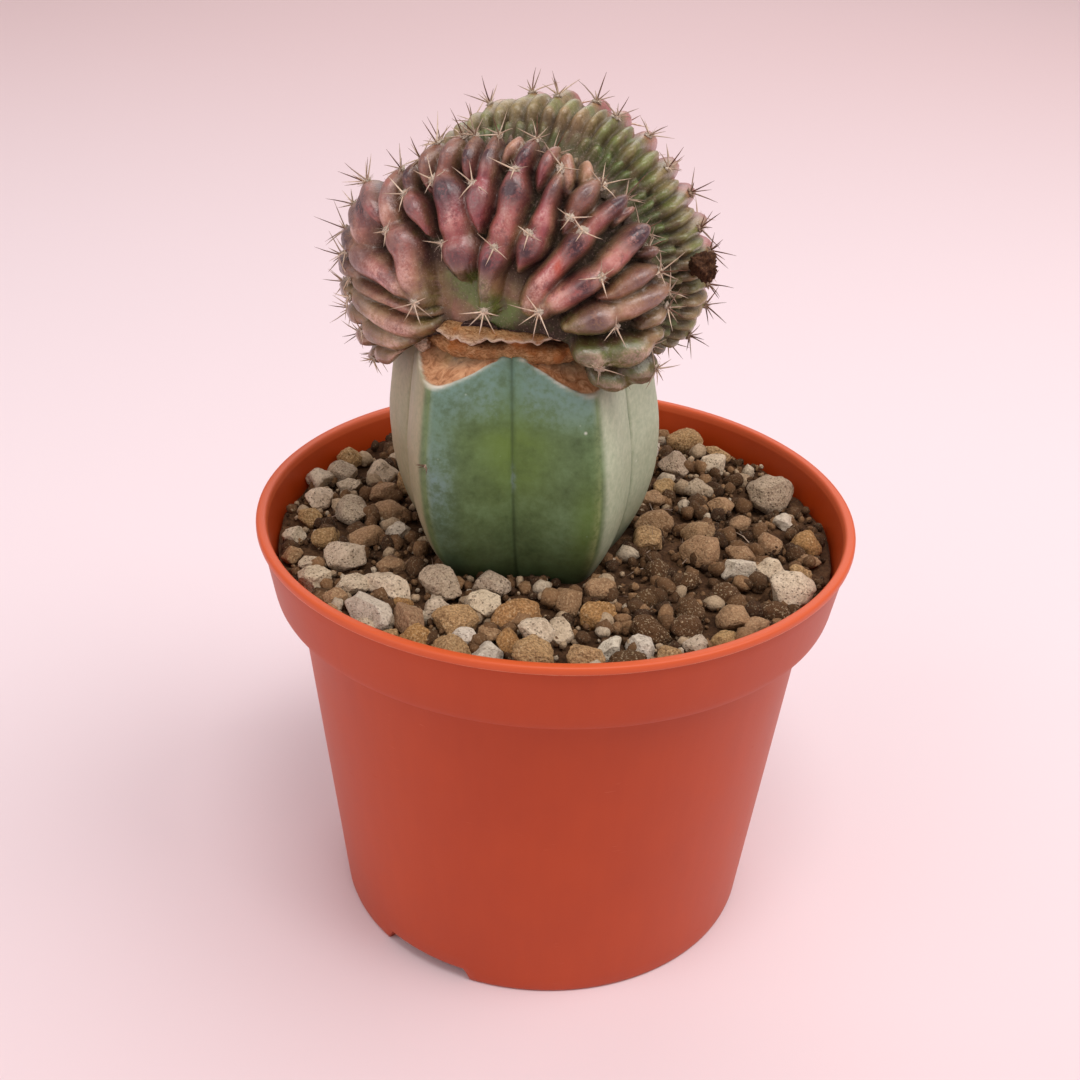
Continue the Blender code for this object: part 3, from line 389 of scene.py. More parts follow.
def makePot():
    foot = wallRadius(0)
    top = pot["height"]
    low = pot["collarBottom"]
    rim = pot["rimRadius"]
    raised = pot["footHeight"]
    floorTop = raised + pot["wall"]
    ring = foot - pot["footRing"]
    profile = [(pot["holeRadius"], raised), (9, raised), (20, raised), (ring - 0.3, raised),
               (ring - 0.08, raised - 0.1), (ring, raised - 0.35), (ring, 0.2), (ring + 0.15, 0.02),
               (foot - 0.55, 0), (foot - 0.25, 0.06), (foot - 0.07, 0.25), (wallRadius(0.8), 0.8)]
    profile += [(wallRadius(z), z) for z in np.linspace(2.6, low - 0.7, 22)]
    profile += [(pot["wallTop"] + 0.08, low - 0.3), (pot["wallTop"] + 0.35, low - 0.05), (pot["wallTop"] + 0.7, low),
                (pot["collarRadius"] - 0.32, low), (pot["collarRadius"] - 0.1, low + 0.08),
                (pot["collarRadius"], low + 0.3)]
    profile += [(collarRadius(z), z) for z in np.linspace(low + 1, top - 1.75, 6)]
    lipBottom = top - pot["lip"]
    profile += [(collarRadius(lipBottom) - 0.1, lipBottom - 0.22), (collarRadius(lipBottom) - 0.06, lipBottom - 0.08),
                (rim - 0.2, lipBottom + 0.04), (rim - 0.06, lipBottom + 0.14), (rim, lipBottom + 0.35),
                (rim, top - 0.4), (rim - 0.07, top - 0.17), (rim - 0.22, top - 0.04), (rim - 0.42, top),
                (rim - 1.05, top), (rim - 1.28, top - 0.08), (rim - 1.45, top - 0.32), (rim - 1.55, top - 0.7)]
    profile += [(collarRadius(z) - pot["wall"], z) for z in (60, 57, 54.4)]
    profile += [(pot["wallTop"] - pot["wall"] + 0.9, low - 0.1), (pot["wallTop"] - pot["wall"], low - 0.8)]
    profile += [(wallRadius(z) - pot["wall"], z) for z in (45, 35, 25, 15, floorTop + 0.6)]
    profile += [(wallRadius(floorTop) - pot["wall"] - 0.6, floorTop), (20, floorTop), (pot["holeRadius"], floorTop)]
    bm = turnedBody(profile, pot["steps"])
    for vert in bm.verts:  # openings in the foot ring
        if vert.co.z < raised - 0.36 and vert.co.xy.length > ring - 0.5:
            for angle in pot["notchAngles"]:
                way = direction(angle)
                off = abs(np.degrees(Vector((vert.co.x, vert.co.y, 0)).angle(way)))
                lift = 1 - smoothStep(off, pot["notchSpan"] / 2 - 1.2, pot["notchSpan"] / 2 + 0.4)
                vert.co.z += (raised - 0.36 - vert.co.z) * float(lift) * 0.96
    piece = makePiece(bm, "potShell", plasticFinish(), "pot")
    reach = np.array([v.co.xy.length / mm for v in piece.data.vertices])
    addMask(piece, "outside", smoothStep(reach, 41.1, 41.5))
    cutters = []
    for k in range(6):
        cutter = bmesh.new()
        hole = pot["holeRadius"]
        bmesh.ops.create_cone(cutter, cap_ends=True, segments=32, radius1=hole, radius2=hole, depth=6)
        spot = direction(k * 60) * pot["holeRing"] + Vector((0, 0, raised + pot["wall"] / 2))
        bmesh.ops.translate(cutter, vec=spot, verts=cutter.verts)
        bmesh.ops.scale(cutter, vec=(mm, mm, mm), verts=cutter.verts)
        mesh = bpy.data.meshes.new("holeCutter")
        cutter.to_mesh(mesh)
        cutter.free()
        cutters.append(bpy.data.objects.new("holeCutter", mesh))
    cutAway(piece, cutters)
    piece.data.set_sharp_from_angle(angle=radians(40))
    print("pot made")


def cutAway(piece, cutters):
    group = bpy.data.collections.new("cutters")
    bpy.context.scene.collection.children.link(group)
    for cutter in cutters:
        group.objects.link(cutter)
    cut = piece.modifiers.new("Holes", "BOOLEAN")
    cut.operand_type = "COLLECTION"
    cut.collection = group
    cut.solver = "EXACT"
    graph = bpy.context.evaluated_depsgraph_get()
    mesh = bpy.data.meshes.new_from_object(piece.evaluated_get(graph))
    piece.modifiers.clear()
    piece.data = mesh
    for cutter in cutters:
        bpy.data.objects.remove(cutter)
    bpy.data.collections.remove(group)


stock = {
    "centre": (-5.2, -0.6), "middle": 75, "lean": -0.04, "ribs": (-37, 33, 106, 178, -110),
    "radii": ((40, 9), (54, 12.4), (59, 15.2), (63, 18), (69, 19.8), (76, 20.2), (84, 19), (92, 17.4)),
    "section": ((0, 1), (0.06, 0.985), (0.3, 0.862), (0.47, 0.812), (0.5, 0.806), (0.53, 0.812), (0.7, 0.862),
                (0.94, 0.985), (1, 1)),
    "top": 92, "shoulder": 12.4, "slope": radians(37), "sink": 0.35, "steps": 300, "levels": 110,
}


def stockAcross(height):  # its axis leans to the side
    return stock["centre"][0] + stock["lean"] * (height - stock["middle"])


def stockAxis(height):
    return Vector((stockAcross(height), stock["centre"][1], height))


def stockRadius(height):
    heights, radii = zip(*stock["radii"])
    return sum(np.interp(height + off, heights, radii) for off in (-2, -1, 0, 1, 2)) / 5


def stockSection(share):  # size of the section from one rib to the next, with its corners softened
    shares, sizes = zip(*stock["section"])
    return sum(np.interp((share + off) % 1, shares, sizes) for off in np.linspace(-0.035, 0.035, 9)) / 9


stockLook = {
    "deep": (62, 80, 46), "body": (92, 114, 74), "light": (116, 142, 102), "grass": (102, 128, 46),
    # pale and paleLight are painted light: paler skin on the faces turned towards the right
    "teal": (112, 146, 134), "bloom": (134, 156, 168), "pale": (172, 183, 153), "paleLight": (200, 205, 178),
    # foot is painted shade near the soil; the dark green after it is painted shade along the valley grooves
    "tan": (177, 162, 132), "edge": (160, 168, 116), "foot": (46, 58, 28), "seam": (44, 66, 36),
    "dot": (196, 210, 196), "corkDark": (108, 66, 40), "cork": (174, 116, 74), "corkLight": (222, 172, 128),
    "flush": (222, 170, 132), "rim": (250, 236, 220), "scar": (226, 228, 214),
}


def stockFinish():
    finish = Finish("stockSkin", stockLook, Roughness=0.5, Specular_IOR_Level=0.4)
    cloud = finish.noise(5, 5, 0.6)
    fine = finish.noise(0.8, 4, 0.6)
    speck = finish.noise(0.25, 2)
    skin = finish.ramp(cloud * 0.7 + fine * 0.3, [(0.3, "deep"), (0.5, "body"), (0.72, "light")])
    skin = finish.cover(skin, ("grass", cloud, 0.3, 0.55, (0.6, 1)),
                        ("bloom", cloud * 0.5 + fine * 0.5, 0.42, 0.6, (0.1, 0.75)),
                        ("teal", cloud * 0.6 + fine * 0.4, 0.36, 0.6, (0.35, 0.95)))
    # painted light: the faces turned towards the right are painted paler
    pale = finish.ramp(fine, [(0.3, "pale"), (0.7, "paleLight")])
    skin = finish.mix(finish.mask("pale") * 0.9, skin, pale)
    skin = finish.cover(skin, ("tan", fine, 0.2, 0.7, (0.6, 1)), ("edge", fine, 0.3, 0.6, (0.15, 0.6)))
    # painted shade: darker towards the soil and along the valley grooves
    for name in ("foot", "seam"):
        skin = finish.mix(finish.mask(name) * 0.7, skin, name)
    dots = finish.between(finish.cells(2.6), 0.0, 0.08, (1, 0)) * finish.between(finish.noise(6, 1), 0.5, 0.6)
    skin = finish.mix(dots * 0.4, skin, "dot")
    scars = finish.between(finish.cells(7.5), 0.0, 0.045, (1, 0))
    skin = finish.mix(scars * 0.7, skin, "scar")
    fibre = finish.noise(1.2, 6, 0.65, 1.2, (1, 1, 0.5))
    cork = finish.ramp(fibre, [(0.28, "corkDark"), (0.46, "cork"), (0.7, "corkLight")])
    cork = finish.cover(cork, ("flush", fibre, 0.36, 0.5, (0.3, 1)))
    cut = finish.mask("cut")
    skin = finish.mix(cut, skin, cork)
    skin = finish.mix(finish.mask("rim") * 0.95, skin, "rim")
    finish.into("Base Color", skin)
    finish.into("Roughness", 0.42 + 0.2 * fine + 0.2 * cut)
    torn = cut * finish.noise(0.45, 4, 0.6, 1.5, (1, 1, 0.5)) * 2
    finish.bump(speck * 0.3 + fine * 0.5 + torn, 0.1, 0.5)
    return finish


def makeStock():
    levels = np.linspace(40, stock["top"], stock["levels"])
    profile = [(0, 40)] + [(float(stockRadius(z)), float(z)) for z in levels] + [(12, 92), (6, 92), (0, 92)]
    bm = turnedBody(profile, stock["steps"])
    spots = places(bm)
    height = spots[:, 2].copy()
    reach = np.hypot(spots[:, 0], spots[:, 1])
    turn = np.degrees(np.arctan2(spots[:, 0], -spots[:, 1]))
    ribs = sorted(stock["ribs"])
    size = np.ones(len(spots))
    part = np.zeros(len(spots))
    face = np.zeros(len(spots), dtype=int)
    for k, rib in enumerate(ribs):
        span = (ribs[(k + 1) % 5] - rib) % 360
        share = ((turn - rib) % 360) / span
        here = share < 1
        part[here] = share[here]
        face[here] = k
        size[here] = stockSection(share[here])
    valley = 1 - np.abs(part - 0.5) * 2
    size = size - 0.022 * hump(part, 0.5, 0.011)
    wave = 0.006 * wobble(spots * (1, 1, 0.6), 7) + 0.0016 * wobble(spots, 2.2, 3)
    reach = reach * (size + wave * smoothStep(height, 50, 60))
    spots[:, 0] = stockAcross(height) + reach * np.sin(np.radians(turn))
    spots[:, 1] = stock["centre"][1] - reach * np.cos(np.radians(turn))
    cut = np.zeros(len(spots))
    rimMask = np.zeros(len(spots))
    flush = np.zeros(len(spots))
    for k, rib in enumerate(ribs):  # cut shoulders: what stands over the plane is laid down on it
        out = np.array(direction(rib))
        normal = out * sin(stock["slope"]) + np.array((0, 0, cos(stock["slope"])))
        origin = np.array(stockAxis(stock["top"])) + out * stock["shoulder"]
        over = (spots - origin) @ normal
        depth = np.maximum(over, 0)
        inside = smoothStep(over, 0.15, 0.9)
        sunk = inside * stock["sink"] * (1 + 0.5 * wobble(spots, 1.6, k)) + 0.12 * inside * wobble(spots, 0.6, k + 9)
        spots = spots - normal * (depth + sunk * (over > 0))[:, None]
        cut = np.maximum(cut, smoothStep(over, 0.25, 0.55))
        rimMask = np.maximum(rimMask, hump(over, 0.2, 0.28))
        flush = np.maximum(flush, inside * (rib == -37) * 0.6)
    moveAll(bm, spots)
    piece = makePiece(bm, "stockBody", stockFinish(), "stock")
    front = ribs.index(-37)
    right = ribs.index(33)
    left = ribs.index(-110)
    ragged = 0.5 + 0.5 * wobble(spots, 5, 2)
    onFront = (face == front).astype(float)
    addMask(piece, "cut", cut)
    addMask(piece, "rim", rimMask * np.clip(0.55 + 0.6 * wobble(spots, 2, 4), 0, 1))
    addMask(piece, "flush", flush * np.clip(ragged, 0, 1))
    broken = 1 - 0.7 * hump(height, 76, 2.2)
    # painted shade: a dark line along the groove in each valley
    addMask(piece, "seam", hump(part, 0.5, 0.009) * smoothStep(height, 58, 62) * broken)
    addMask(piece, "grass", onFront * smoothStep(valley, 0.2, 0.9) * hump(height, 81, 8) * (0.5 + 0.5 * ragged)
            + 0.5 * onFront * smoothStep(part, 0.8, 0.93) * hump(height, 70, 7))
    edgeLeft = onFront * (part < 0.5) * (1 - smoothStep(part, 0.05, 0.2))
    corners = onFront * smoothStep(height, 82, 88) * (1 - smoothStep(valley, 0.75, 0.95))
    addMask(piece, "bloom", np.clip(0.8 * edgeLeft * hump(height, 75, 6) + corners * 0.6
                                    + onFront * hump(part, 0.5, 0.012) * hump(height, 76, 1.6), 0, 1))
    addMask(piece, "teal", onFront * np.clip(0.85 * smoothStep(height, 81, 91) + 0.4 * edgeLeft, 0, 1))
    # painted light: paler skin on the faces turned towards the right
    pale = (face == right) * smoothStep(part, 0.0, 0.06)
    addMask(piece, "pale", np.clip(pale + (face == ribs.index(106)) * 0.6, 0, 1))
    tan = ((face == left) * smoothStep(1 - part, 0.02, 0.08)).astype(float)
    addMask(piece, "tan", np.clip(tan * (0.7 + 0.3 * ragged) + (face == ribs.index(178)) * 0.35, 0, 1))
    ribEdge = 1 - smoothStep(np.minimum(part, 1 - part), 0.008, 0.035)
    besideRight = onFront * smoothStep(part, 0.94, 0.985) * hump(height, 66, 9)
    addMask(piece, "edge", (0.3 * ribEdge + 0.9 * besideRight) * smoothStep(height, 57, 64) * (1 - cut))
    # painted shade: darker towards the soil
    addMask(piece, "foot", 0.9 * (1 - smoothStep(height, 58.5, 70)))
    print("rootstock made")


callus = {
    "radius": 15.2, "bottom": 90.4, "top": 95.5, "steps": 320,
    # the roll and its lip, as heights over the bottom and distances past the radius
    "roll": ((0, -2.2), (0.6, -1.5), (1.2, -1.1), (1.8, -0.9), (2.3, -0.9), (2.7, -1.1), (3, -1.4), (3.25, -1.6),
             (3.5, -1.2), (3.65, -0.4), (3.8, 0.15), (4, 0.35), (4.2, 0.3), (4.4, 0), (4.7, -0.5), (5.1, -1.4)),
}
corkLook = {
    "dark": (88, 52, 32), "cork": (174, 122, 78), "light": (210, 162, 112), "pale": (238, 200, 160),
    # crack is near black: painted shade in the crack under the lip
    "rust": (196, 116, 52), "crack": (40, 22, 16), "lip": (232, 210, 188),
}
callusStub = {"place": Vector((-18.4, -8.6, 91.4)), "way": Vector((-0.8, -0.6, 0)), "size": 1.15}


def corkFinish(name="callusCork"):
    finish = Finish(name, corkLook, Roughness=0.85, Specular_IOR_Level=0.25)
    fibre = finish.noise(0.8, 6, 0.7, 1.5, (1, 1, 2.2))
    cloud = finish.noise(3, 3)
    colour = finish.ramp(fibre, [(0.28, "dark"), (0.44, "cork"), (0.58, "light"), (0.74, "pale")])
    colour = finish.mix(finish.between(cloud, 0.5, 0.66) * 0.6, colour, "rust")
    # painted shade: the crack under the lip is painted near black
    colour = finish.mix(finish.mask("crack"), colour, "crack")
    colour = finish.cover(colour, ("lip", fibre, 0.3, 0.55, (0, 1)))
    finish.into("Base Color", colour)
    finish.bump(fibre, 0.5, 0.9)
    return finish


def makeCallus():
    bottom = callus["bottom"]
    profile = [(0, bottom - 0.4), (6, bottom - 0.4)]
    profile += [(callus["radius"] + step, bottom + rise) for rise, step in callus["roll"]]
    profile += [(10, callus["top"] + 0.2), (5, callus["top"] + 0.2), (0, callus["top"] + 0.2)]
    bm = turnedBody(profile, callus["steps"])
    spots = places(bm)
    reach = np.hypot(spots[:, 0], spots[:, 1])
    height = spots[:, 2].copy()
    way = spots * (1, 1, 0) / np.maximum(reach, 0.01)[:, None]
    ragged = 0.7 * softNoise(way * 2.3 + (0, 0, 0.35) * height[:, None])
    fine = 0.4 * wobble(way * 15, 1.5, 5) + 0.22 * wobble(way * 15 + (0, 0, 1) * height[:, None], 0.6, 8)
    outer = smoothStep(reach, 9, 13)
    lip = hump(height, bottom + 4, 0.55)
    folds = 0.55 * wobble(way * 15 + (0, 0, 0.25) * height[:, None], 1.1, 33) + 0.3 * wobble(way * 15, 0.45, 35)
    reach = reach + outer * (ragged + fine * (0.3 + 0.7 * lip) + folds * hump(height, bottom + 1.7, 1.5))
    axisX = stockAcross(height)
    droop = outer * lip * (1.1 * wobble(way * 15, 2.8, 12) + 0.5 * wobble(way * 15, 0.9, 14) - 0.2)
    crack = hump(height, bottom + 3.2, 0.42) * outer * smoothStep(wobble(way * 15, 4, 21), -0.45, 0.1)
    reach = reach - crack * 1.1
    spots = np.stack((axisX + reach * way[:, 0], stock["centre"][1] + reach * way[:, 1], height + droop), axis=1)
    moveAll(bm, spots)
    piece = makePiece(bm, "callusCork", corkFinish(), "graft_callus")
    # painted shade: the crack is painted near black
    addMask(piece, "crack", np.clip(crack, 0, 1))
    addMask(piece, "lip", hump(height, bottom + 4, 0.3) * outer)
    bm = bmesh.new()
    bmesh.ops.create_icosphere(bm, subdivisions=4, radius=1)
    place = callusStub["place"]
    for vert in bm.verts:  # shrunken grey end of the cut skin
        old = vert.co.copy()
        curl = 1 + 0.35 * noise.noise(old * 1.4) + 0.3 * noise.noise(old * 3.1)
        pinch = 1 - 0.45 * max(0, old.dot(callusStub["way"])) ** 3
        vert.co = place + Vector((old.x * 1.1, old.y, old.z * 0.95)) * curl * pinch * callusStub["size"]
    stub = makePiece(bm, "callusStub", corkFinish("stubCork"), "graft_callus")
    addMask(stub, "crack", np.zeros(len(stub.data.vertices)))
    addMask(stub, "lip", np.full(len(stub.data.vertices), 0.8))
    print("callus made")


# The crest is a fan folded over a growth line. A place on it has a fan angle, from straight up towards the right,
# and an angle round from the fan's middle plane, negative towards the front.
crest = {
    "centre": Vector((-5.5, 0, 96.5)), "turn": radians(20), "front": 17.4, "back": 20.5, "ribDepth": 3.4,
    "groove": 0.09, "grooveWidth": 9, "frontStart": (1, 6), "backStart": (2, 9), "ribReach": 0.54, "ribRound": 0.6,
    "pathStep": 0.35, "columns": 440, "rows": 200,
    "growthLine": ((-180, 0), (-60, 0), (-38, -5), (-15, -12), (60, -12), (85, -9), (110, -5), (180, 0)),
    "frontOutline": (
        (-180, 6), (-145, 12), (-130, 20), (-118, 24), (-100, 24.8), (-90, 25.4), (-70, 25.6), (-45, 25.2),
        (-25, 25), (0, 25.4), (45, 25.9), (75, 25.6), (90, 25.2), (105, 24.4), (118, 22.6), (130, 17.4), (145, 11),
        (180, 6),
    ),
    "backOutline": (
        (-180, 6), (-145, 12), (-130, 20), (-118, 23.4), (-100, 24), (-90, 24.2), (-70, 23.8), (-45, 22.8),
        (-25, 23.4), (0, 25.4), (20, 26.2), (45, 25.6), (75, 25.6), (90, 25.2), (105, 23.6), (118, 20.6), (130, 15.6),
        (145, 10), (180, 6),
    ),
    "saddle": (
        (-18.5, -17), (-15.4, -11.6), (-11.8, -6.6), (-9, -4.8), (-6, -3.2), (-2.6, -1.7), (1.5, -0.9), (8.6, -1),
        (11.6, -2.4), (13.4, -5.6), (15.2, -8.8), (17.4, -14),
    ),
}
# Ribs on the front: places across and up on its face, the rib's width there, and the places of its areoles
frontRibs = (
    (((-19.4, 13), (-19, 11.2), (-19.4, 8.8), (-20.2, 6), (-17.8, 4.6), (-14.4, 4), (-11.8, 2.9), (-9.8, 2.1)),
     (3.2, 5, 6.2, 6.2, 5, 4.4, 3.6, 2.2), ((-20, 13.5), (-21.4, 4.6))),
    (((-14.8, 16.2), (-15, 13.8), (-14.6, 12), (-13.4, 9.9), (-11.4, 8.3), (-10.5, 6.6), (-9.6, 4), (-8.5, 2)),
     (2.2, 3, 3.8, 4.6, 5, 5.2, 5.2, 4.4), ((-14.8, 17), (-13.4, 9.6), (-8.3, 1.6))),
    (((-11.6, 18.2), (-12.2, 16.2), (-11.4, 14.4), (-9.9, 13.1), (-8.8, 12), (-7.8, 10.7)),
     (1.8, 2.4, 3, 3.2, 2.6, 1.4), ((-11.7, 18.8), (-11.7, 14.4))),
    (((-9.3, 20.2), (-9.8, 18.6), (-9.6, 17.3), (-8.8, 16)), (2.4, 2.8, 2.4, 1.2), ((-9.4, 20.7),)),
    (((-6.2, 21.7), (-6.8, 19.5), (-6.8, 17.4), (-5.1, 15), (-4, 12.6), (-3.2, 10.2), (-2.6, 8), (-2.2, 6)),
     (2.6, 2.9, 3.7, 5, 5.6, 5.9, 4.9, 2.2), ((-5.8, 22.2), (-7.8, 16.8), (-5.4, 9.6))),
    (((-3.8, 21.9), (-3.7, 20.3), (-3.5, 18.9), (-3.3, 17.8)), (2.4, 2.6, 2.2, 0.9), ((-4, 22.5),)),
    (((-1, 22.7), (-0.9, 21), (-0.9, 18.8), (-1, 16.6), (-0.8, 14.2), (-0.4, 12)),
     (2.1, 2.4, 3.2, 3.9, 3.3, 1.1), ((-0.6, 22.9), (-1.8, 17.2))),
    (((2.2, 22.6), (1.5, 21.5), (1, 20.3)), (2, 2.2, 1), ()),
    (((4.1, 22.8), (3.7, 21), (3.3, 19), (3.4, 16.6), (3.2, 14), (2.5, 11), (1.6, 8), (1.2, 5), (1.2, 2.2)),
     (2.2, 2.5, 3.4, 4.3, 4.1, 4.8, 3.7, 3.1, 3), ((4.4, 23.2), (3.2, 19.2), (2.3, 10.3), (1.3, 2.1))),
    (((7.4, 22.4), (6.8, 21), (6.5, 19.6), (6.3, 18.2)), (1.9, 2.4, 2.2, 0.9), ((6.9, 23),)),
    (((8.6, 19.6), (8.3, 17.8), (7.9, 15.6), (7.5, 13.2), (6.8, 11.5), (6, 9.6), (5.3, 7.7)),
     (1.9, 2.4, 2.8, 4, 4.3, 3, 1), ((8.7, 20), (6.4, 12.4))),
    (((8.9, 21), (9.8, 19.2), (10, 17.8)), (2.4, 2, 0.8), ()),
    (((11.5, 20.7), (11.8, 19.6), (11.6, 18.6)), (2.1, 2.2, 1), ()),
    (((13.4, 19), (12.6, 17.8), (11.9, 16.6), (11.2, 15), (10.6, 13.1)),
     (2, 3, 3.4, 2.9, 1), ((13.8, 18.4), (11, 14.6))),
    (((17.3, 17.4), (15.7, 15.9), (14.2, 14.2), (12.7, 12.3), (11.2, 10.3), (9.5, 8), (8, 5.8), (7.1, 3.4)),
     (1.9, 2.7, 3.2, 3.6, 3.3, 3.2, 3.7, 3.4), ((17.7, 17.7), (12.7, 13.1))),
    (((18.8, 16.4), (17.7, 15.5), (16.6, 14.2)), (1.5, 1.5, 0.8), ()),
    (((20.4, 13.7), (18.8, 12.4), (17.2, 10.2), (15.5, 8.1), (13.4, 6.4), (11, 4.7), (8.6, 3.1)),
     (2.4, 3.3, 3.6, 3.6, 3.4, 3.9, 3.6), ((20.9, 13.8), (15.5, 7.8), (8.5, 3.1))),
    (((22, 11.2), (21.2, 10.6), (20.2, 10.3)), (1.8, 2, 0.9), ((22.1, 11.6),)),
    (((21.6, 8.1), (20.2, 7.7), (18.9, 6.8), (17.5, 5.7), (15.8, 5.1)), (2.3, 3, 3.1, 2.5, 1), ((21.9, 7.9),)),
    (((23.2, 5.9), (21, 4.6), (18.6, 3.4), (16.2, 2.4), (14, 1.7), (12, 1.1)),
     (2.6, 3.5, 4.1, 4.4, 3.9, 2.2), ((23.4, 5.2), (17.8, 1.4))),
    (((23.1, 2.6), (22, 1.7), (20.9, 0.7)), (2.1, 2.4, 1.1), ((23.4, 3),)),
    (((22.4, -0.7), (20.8, -2), (18.8, -2.9), (16.4, -3.1), (14.2, -2.5)),
     (2.6, 3.7, 4.5, 4.5, 3.4), ((22.3, -2.8), (16, -4.4))),
    (((21.7, -5.2), (20.2, -6.4), (18.2, -7.5), (15.6, -6.8)),
     (2.6, 3.5, 3.7, 2.6), ((22, -5.6), (18.6, -9.6))),
    (((-20.6, 1.4), (-17.3, 0.7), (-13.4, 0.4), (-9.4, 0), (-6.4, 0.1)),
     (2.2, 2.4, 2.2, 2, 1.1), ((-20.8, 1.3),)),
    (((-20, -0.6), (-16.5, -2), (-13.2, -2.6), (-9.4, -2.5), (-6.4, -1.4)),
     (3, 3.5, 3.7, 3.4, 1.8), ((-20.4, -1.2),)),
    (((-18, -5.2), (-14.4, -5.3), (-11.6, -5), (-9.8, -4.4)), (3.4, 3.8, 3.2, 2), ((-18.4, -5.6),)),
    (((-16.6, -8.8), (-13.2, -8.2), (-10.9, -6.8)), (3, 3.4, 2.4), ((-16.9, -9.4),)),
)
# Ribs on the back: by turns a middle and a long one at these fan angles, and a short one between each two. For each
# kind: share of the outline's radius, and width as a share of the distance between two ribs
backRibs = {
    "angles": (-113, -99, -85, -71, -57, -43, -30, -17, -5, 6, 16, 25, 35, 46, 56, 66, 75, 84, 94, 104, 114),
    "long": ((0.985, 0.5), (0.96, 0.62), (0.9, 0.8), (0.82, 1), (0.7, 1.1), (0.5, 1.75), (0.35, 2), (0.18, 2.2)),
    "middle": ((0.985, 0.5), (0.95, 0.66), (0.88, 0.86), (0.8, 0.98), (0.64, 0.95), (0.42, 0.35)),
    "short": ((0.995, 0.34), (0.975, 0.46), (0.94, 0.46), (0.9, 0.2)),
    "longAreoles": (0.962, 0.8, 0.5), "middleAreoles": (0.925, 0.66),
}
acrossAxis = np.array((cos(crest["turn"]), -sin(crest["turn"]), 0))
frontAxis = np.array((-sin(crest["turn"]), -cos(crest["turn"]), 0))


def growthLine(fan):
    angles, rounds = zip(*crest["growthLine"])
    return np.radians(np.interp(np.degrees(fan), angles, rounds))


def outlineRadius(fan, around):
    back = 1 / (1 + np.exp((growthLine(fan) - around) / radians(7)))
    frontAngles, frontRadii = zip(*crest["frontOutline"])
    backAngles, backRadii = zip(*crest["backOutline"])
    front = np.interp(np.degrees(fan), frontAngles, frontRadii)
    return front * (1 - back) + np.interp(np.degrees(fan), backAngles, backRadii) * back


def crestSurface(fan, around):  # through the rib tops
    fold = 1 - crest["groove"] * np.exp(-((around - growthLine(fan)) / radians(crest["grooveWidth"])) ** 2)
    radius = outlineRadius(fan, around) * np.abs(np.cos(around)) ** 0.8 * fold
    deep = np.where(around < 0, crest["front"], crest["back"]) * np.sign(around) * np.abs(np.sin(around)) ** 0.9
    spokes = np.sin(fan)[..., None] * acrossAxis + np.cos(fan)[..., None] * np.array((0, 0, 1))
    return np.array(crest["centre"]) + radius[..., None] * spokes - deep[..., None] * frontAxis


def crestNormal(fan, around):
    step = 0.004
    along = crestSurface(fan + step, around) - crestSurface(fan - step, around)
    down = crestSurface(fan, around + step) - crestSurface(fan, around - step)
    normal = np.cross(along, down)
    return normal / np.maximum(np.linalg.norm(normal, axis=-1, keepdims=True), 1e-9)


def facePlace(fan, around):
    line = growthLine(fan)
    fromLine = (around - line) / (pi / 2 - line) * (pi / 2)
    share = np.cos(np.where(around < line, around, fromLine))
    radius = outlineRadius(fan, around) * np.abs(share) ** 0.8
    return radius * np.sin(fan), radius * np.cos(fan)


def anglesAt(across, up, side):
    fan = np.arctan2(across, up)
    share = np.hypot(across, up) / outlineRadius(fan, side * 1.0)
    around = np.arccos(np.clip(share, 0, 0.999) ** (1 / 0.8))
    line = growthLine(fan)
    return fan, -around if side < 0 else line + around * (pi / 2 - line) / (pi / 2)


def smoothPath(points, widths):
    samples = []
    count = len(points)
    knots = [np.array((*point, width)) for point, width in zip(points, widths)]
    for k in range(count - 1):
        before, start, end, after = (knots[min(max(k + i, 0), count - 1)] for i in (-1, 0, 1, 2))
        parts = max(2, int(hypot(*(end - start)[:2]) / crest["pathStep"]))
        for t in np.arange(parts) / parts:
            bend = (2 * before - 5 * start + 4 * end - after) * t * t
            twist = (3 * start - before - 3 * end + after) * t ** 3
            samples.append(0.5 * (2 * start + (end - before) * t + bend + twist))
    samples.append(knots[-1])
    return np.array(samples)


def spokeRib(fan, side, pitch, run, areoles):
    reach = float(outlineRadius(np.array(fan), side))
    spoke = np.array((sin(fan), cos(fan)))
    points = [tuple(spoke * reach * share) for share, _ in run]
    widths = [reach * share * pitch * wide for share, wide in run]
    return points, widths, [tuple(spoke * reach * share) for share in areoles]


def backRib(fan, pitch, kind):
    return spokeRib(fan, 1.0, pitch, backRibs[kind], backRibs.get(kind + "Areoles", ()))


def allBackRibs():
    ribs = []
    pitches = np.gradient(np.radians(backRibs["angles"]))
    for k, (angle, pitch) in enumerate(zip(backRibs["angles"], pitches)):
        ribs.append(backRib(radians(angle), pitch, "long" if k % 2 else "middle"))
    for angle, following in zip(backRibs["angles"], backRibs["angles"][1:]):
        ribs.append(backRib(radians((angle + following) / 2), radians(following - angle), "short"))
    return ribs


sideRibs = {
    "angles": (-57, -66, -75, -84, -93, -102, -111, -120), "pitch": radians(9), "areole": 0.955,
    "run": ((0.985, 0.6), (0.95, 0.85), (0.9, 1.05), (0.84, 1.05), (0.78, 0.7)),
}


def allFrontRibs():  # with those at the left edge, past what the photograph shows
    side = [spokeRib(radians(angle), -1.0, sideRibs["pitch"], sideRibs["run"], (sideRibs["areole"],))
            for angle in sideRibs["angles"]]
    return list(frontRibs) + side


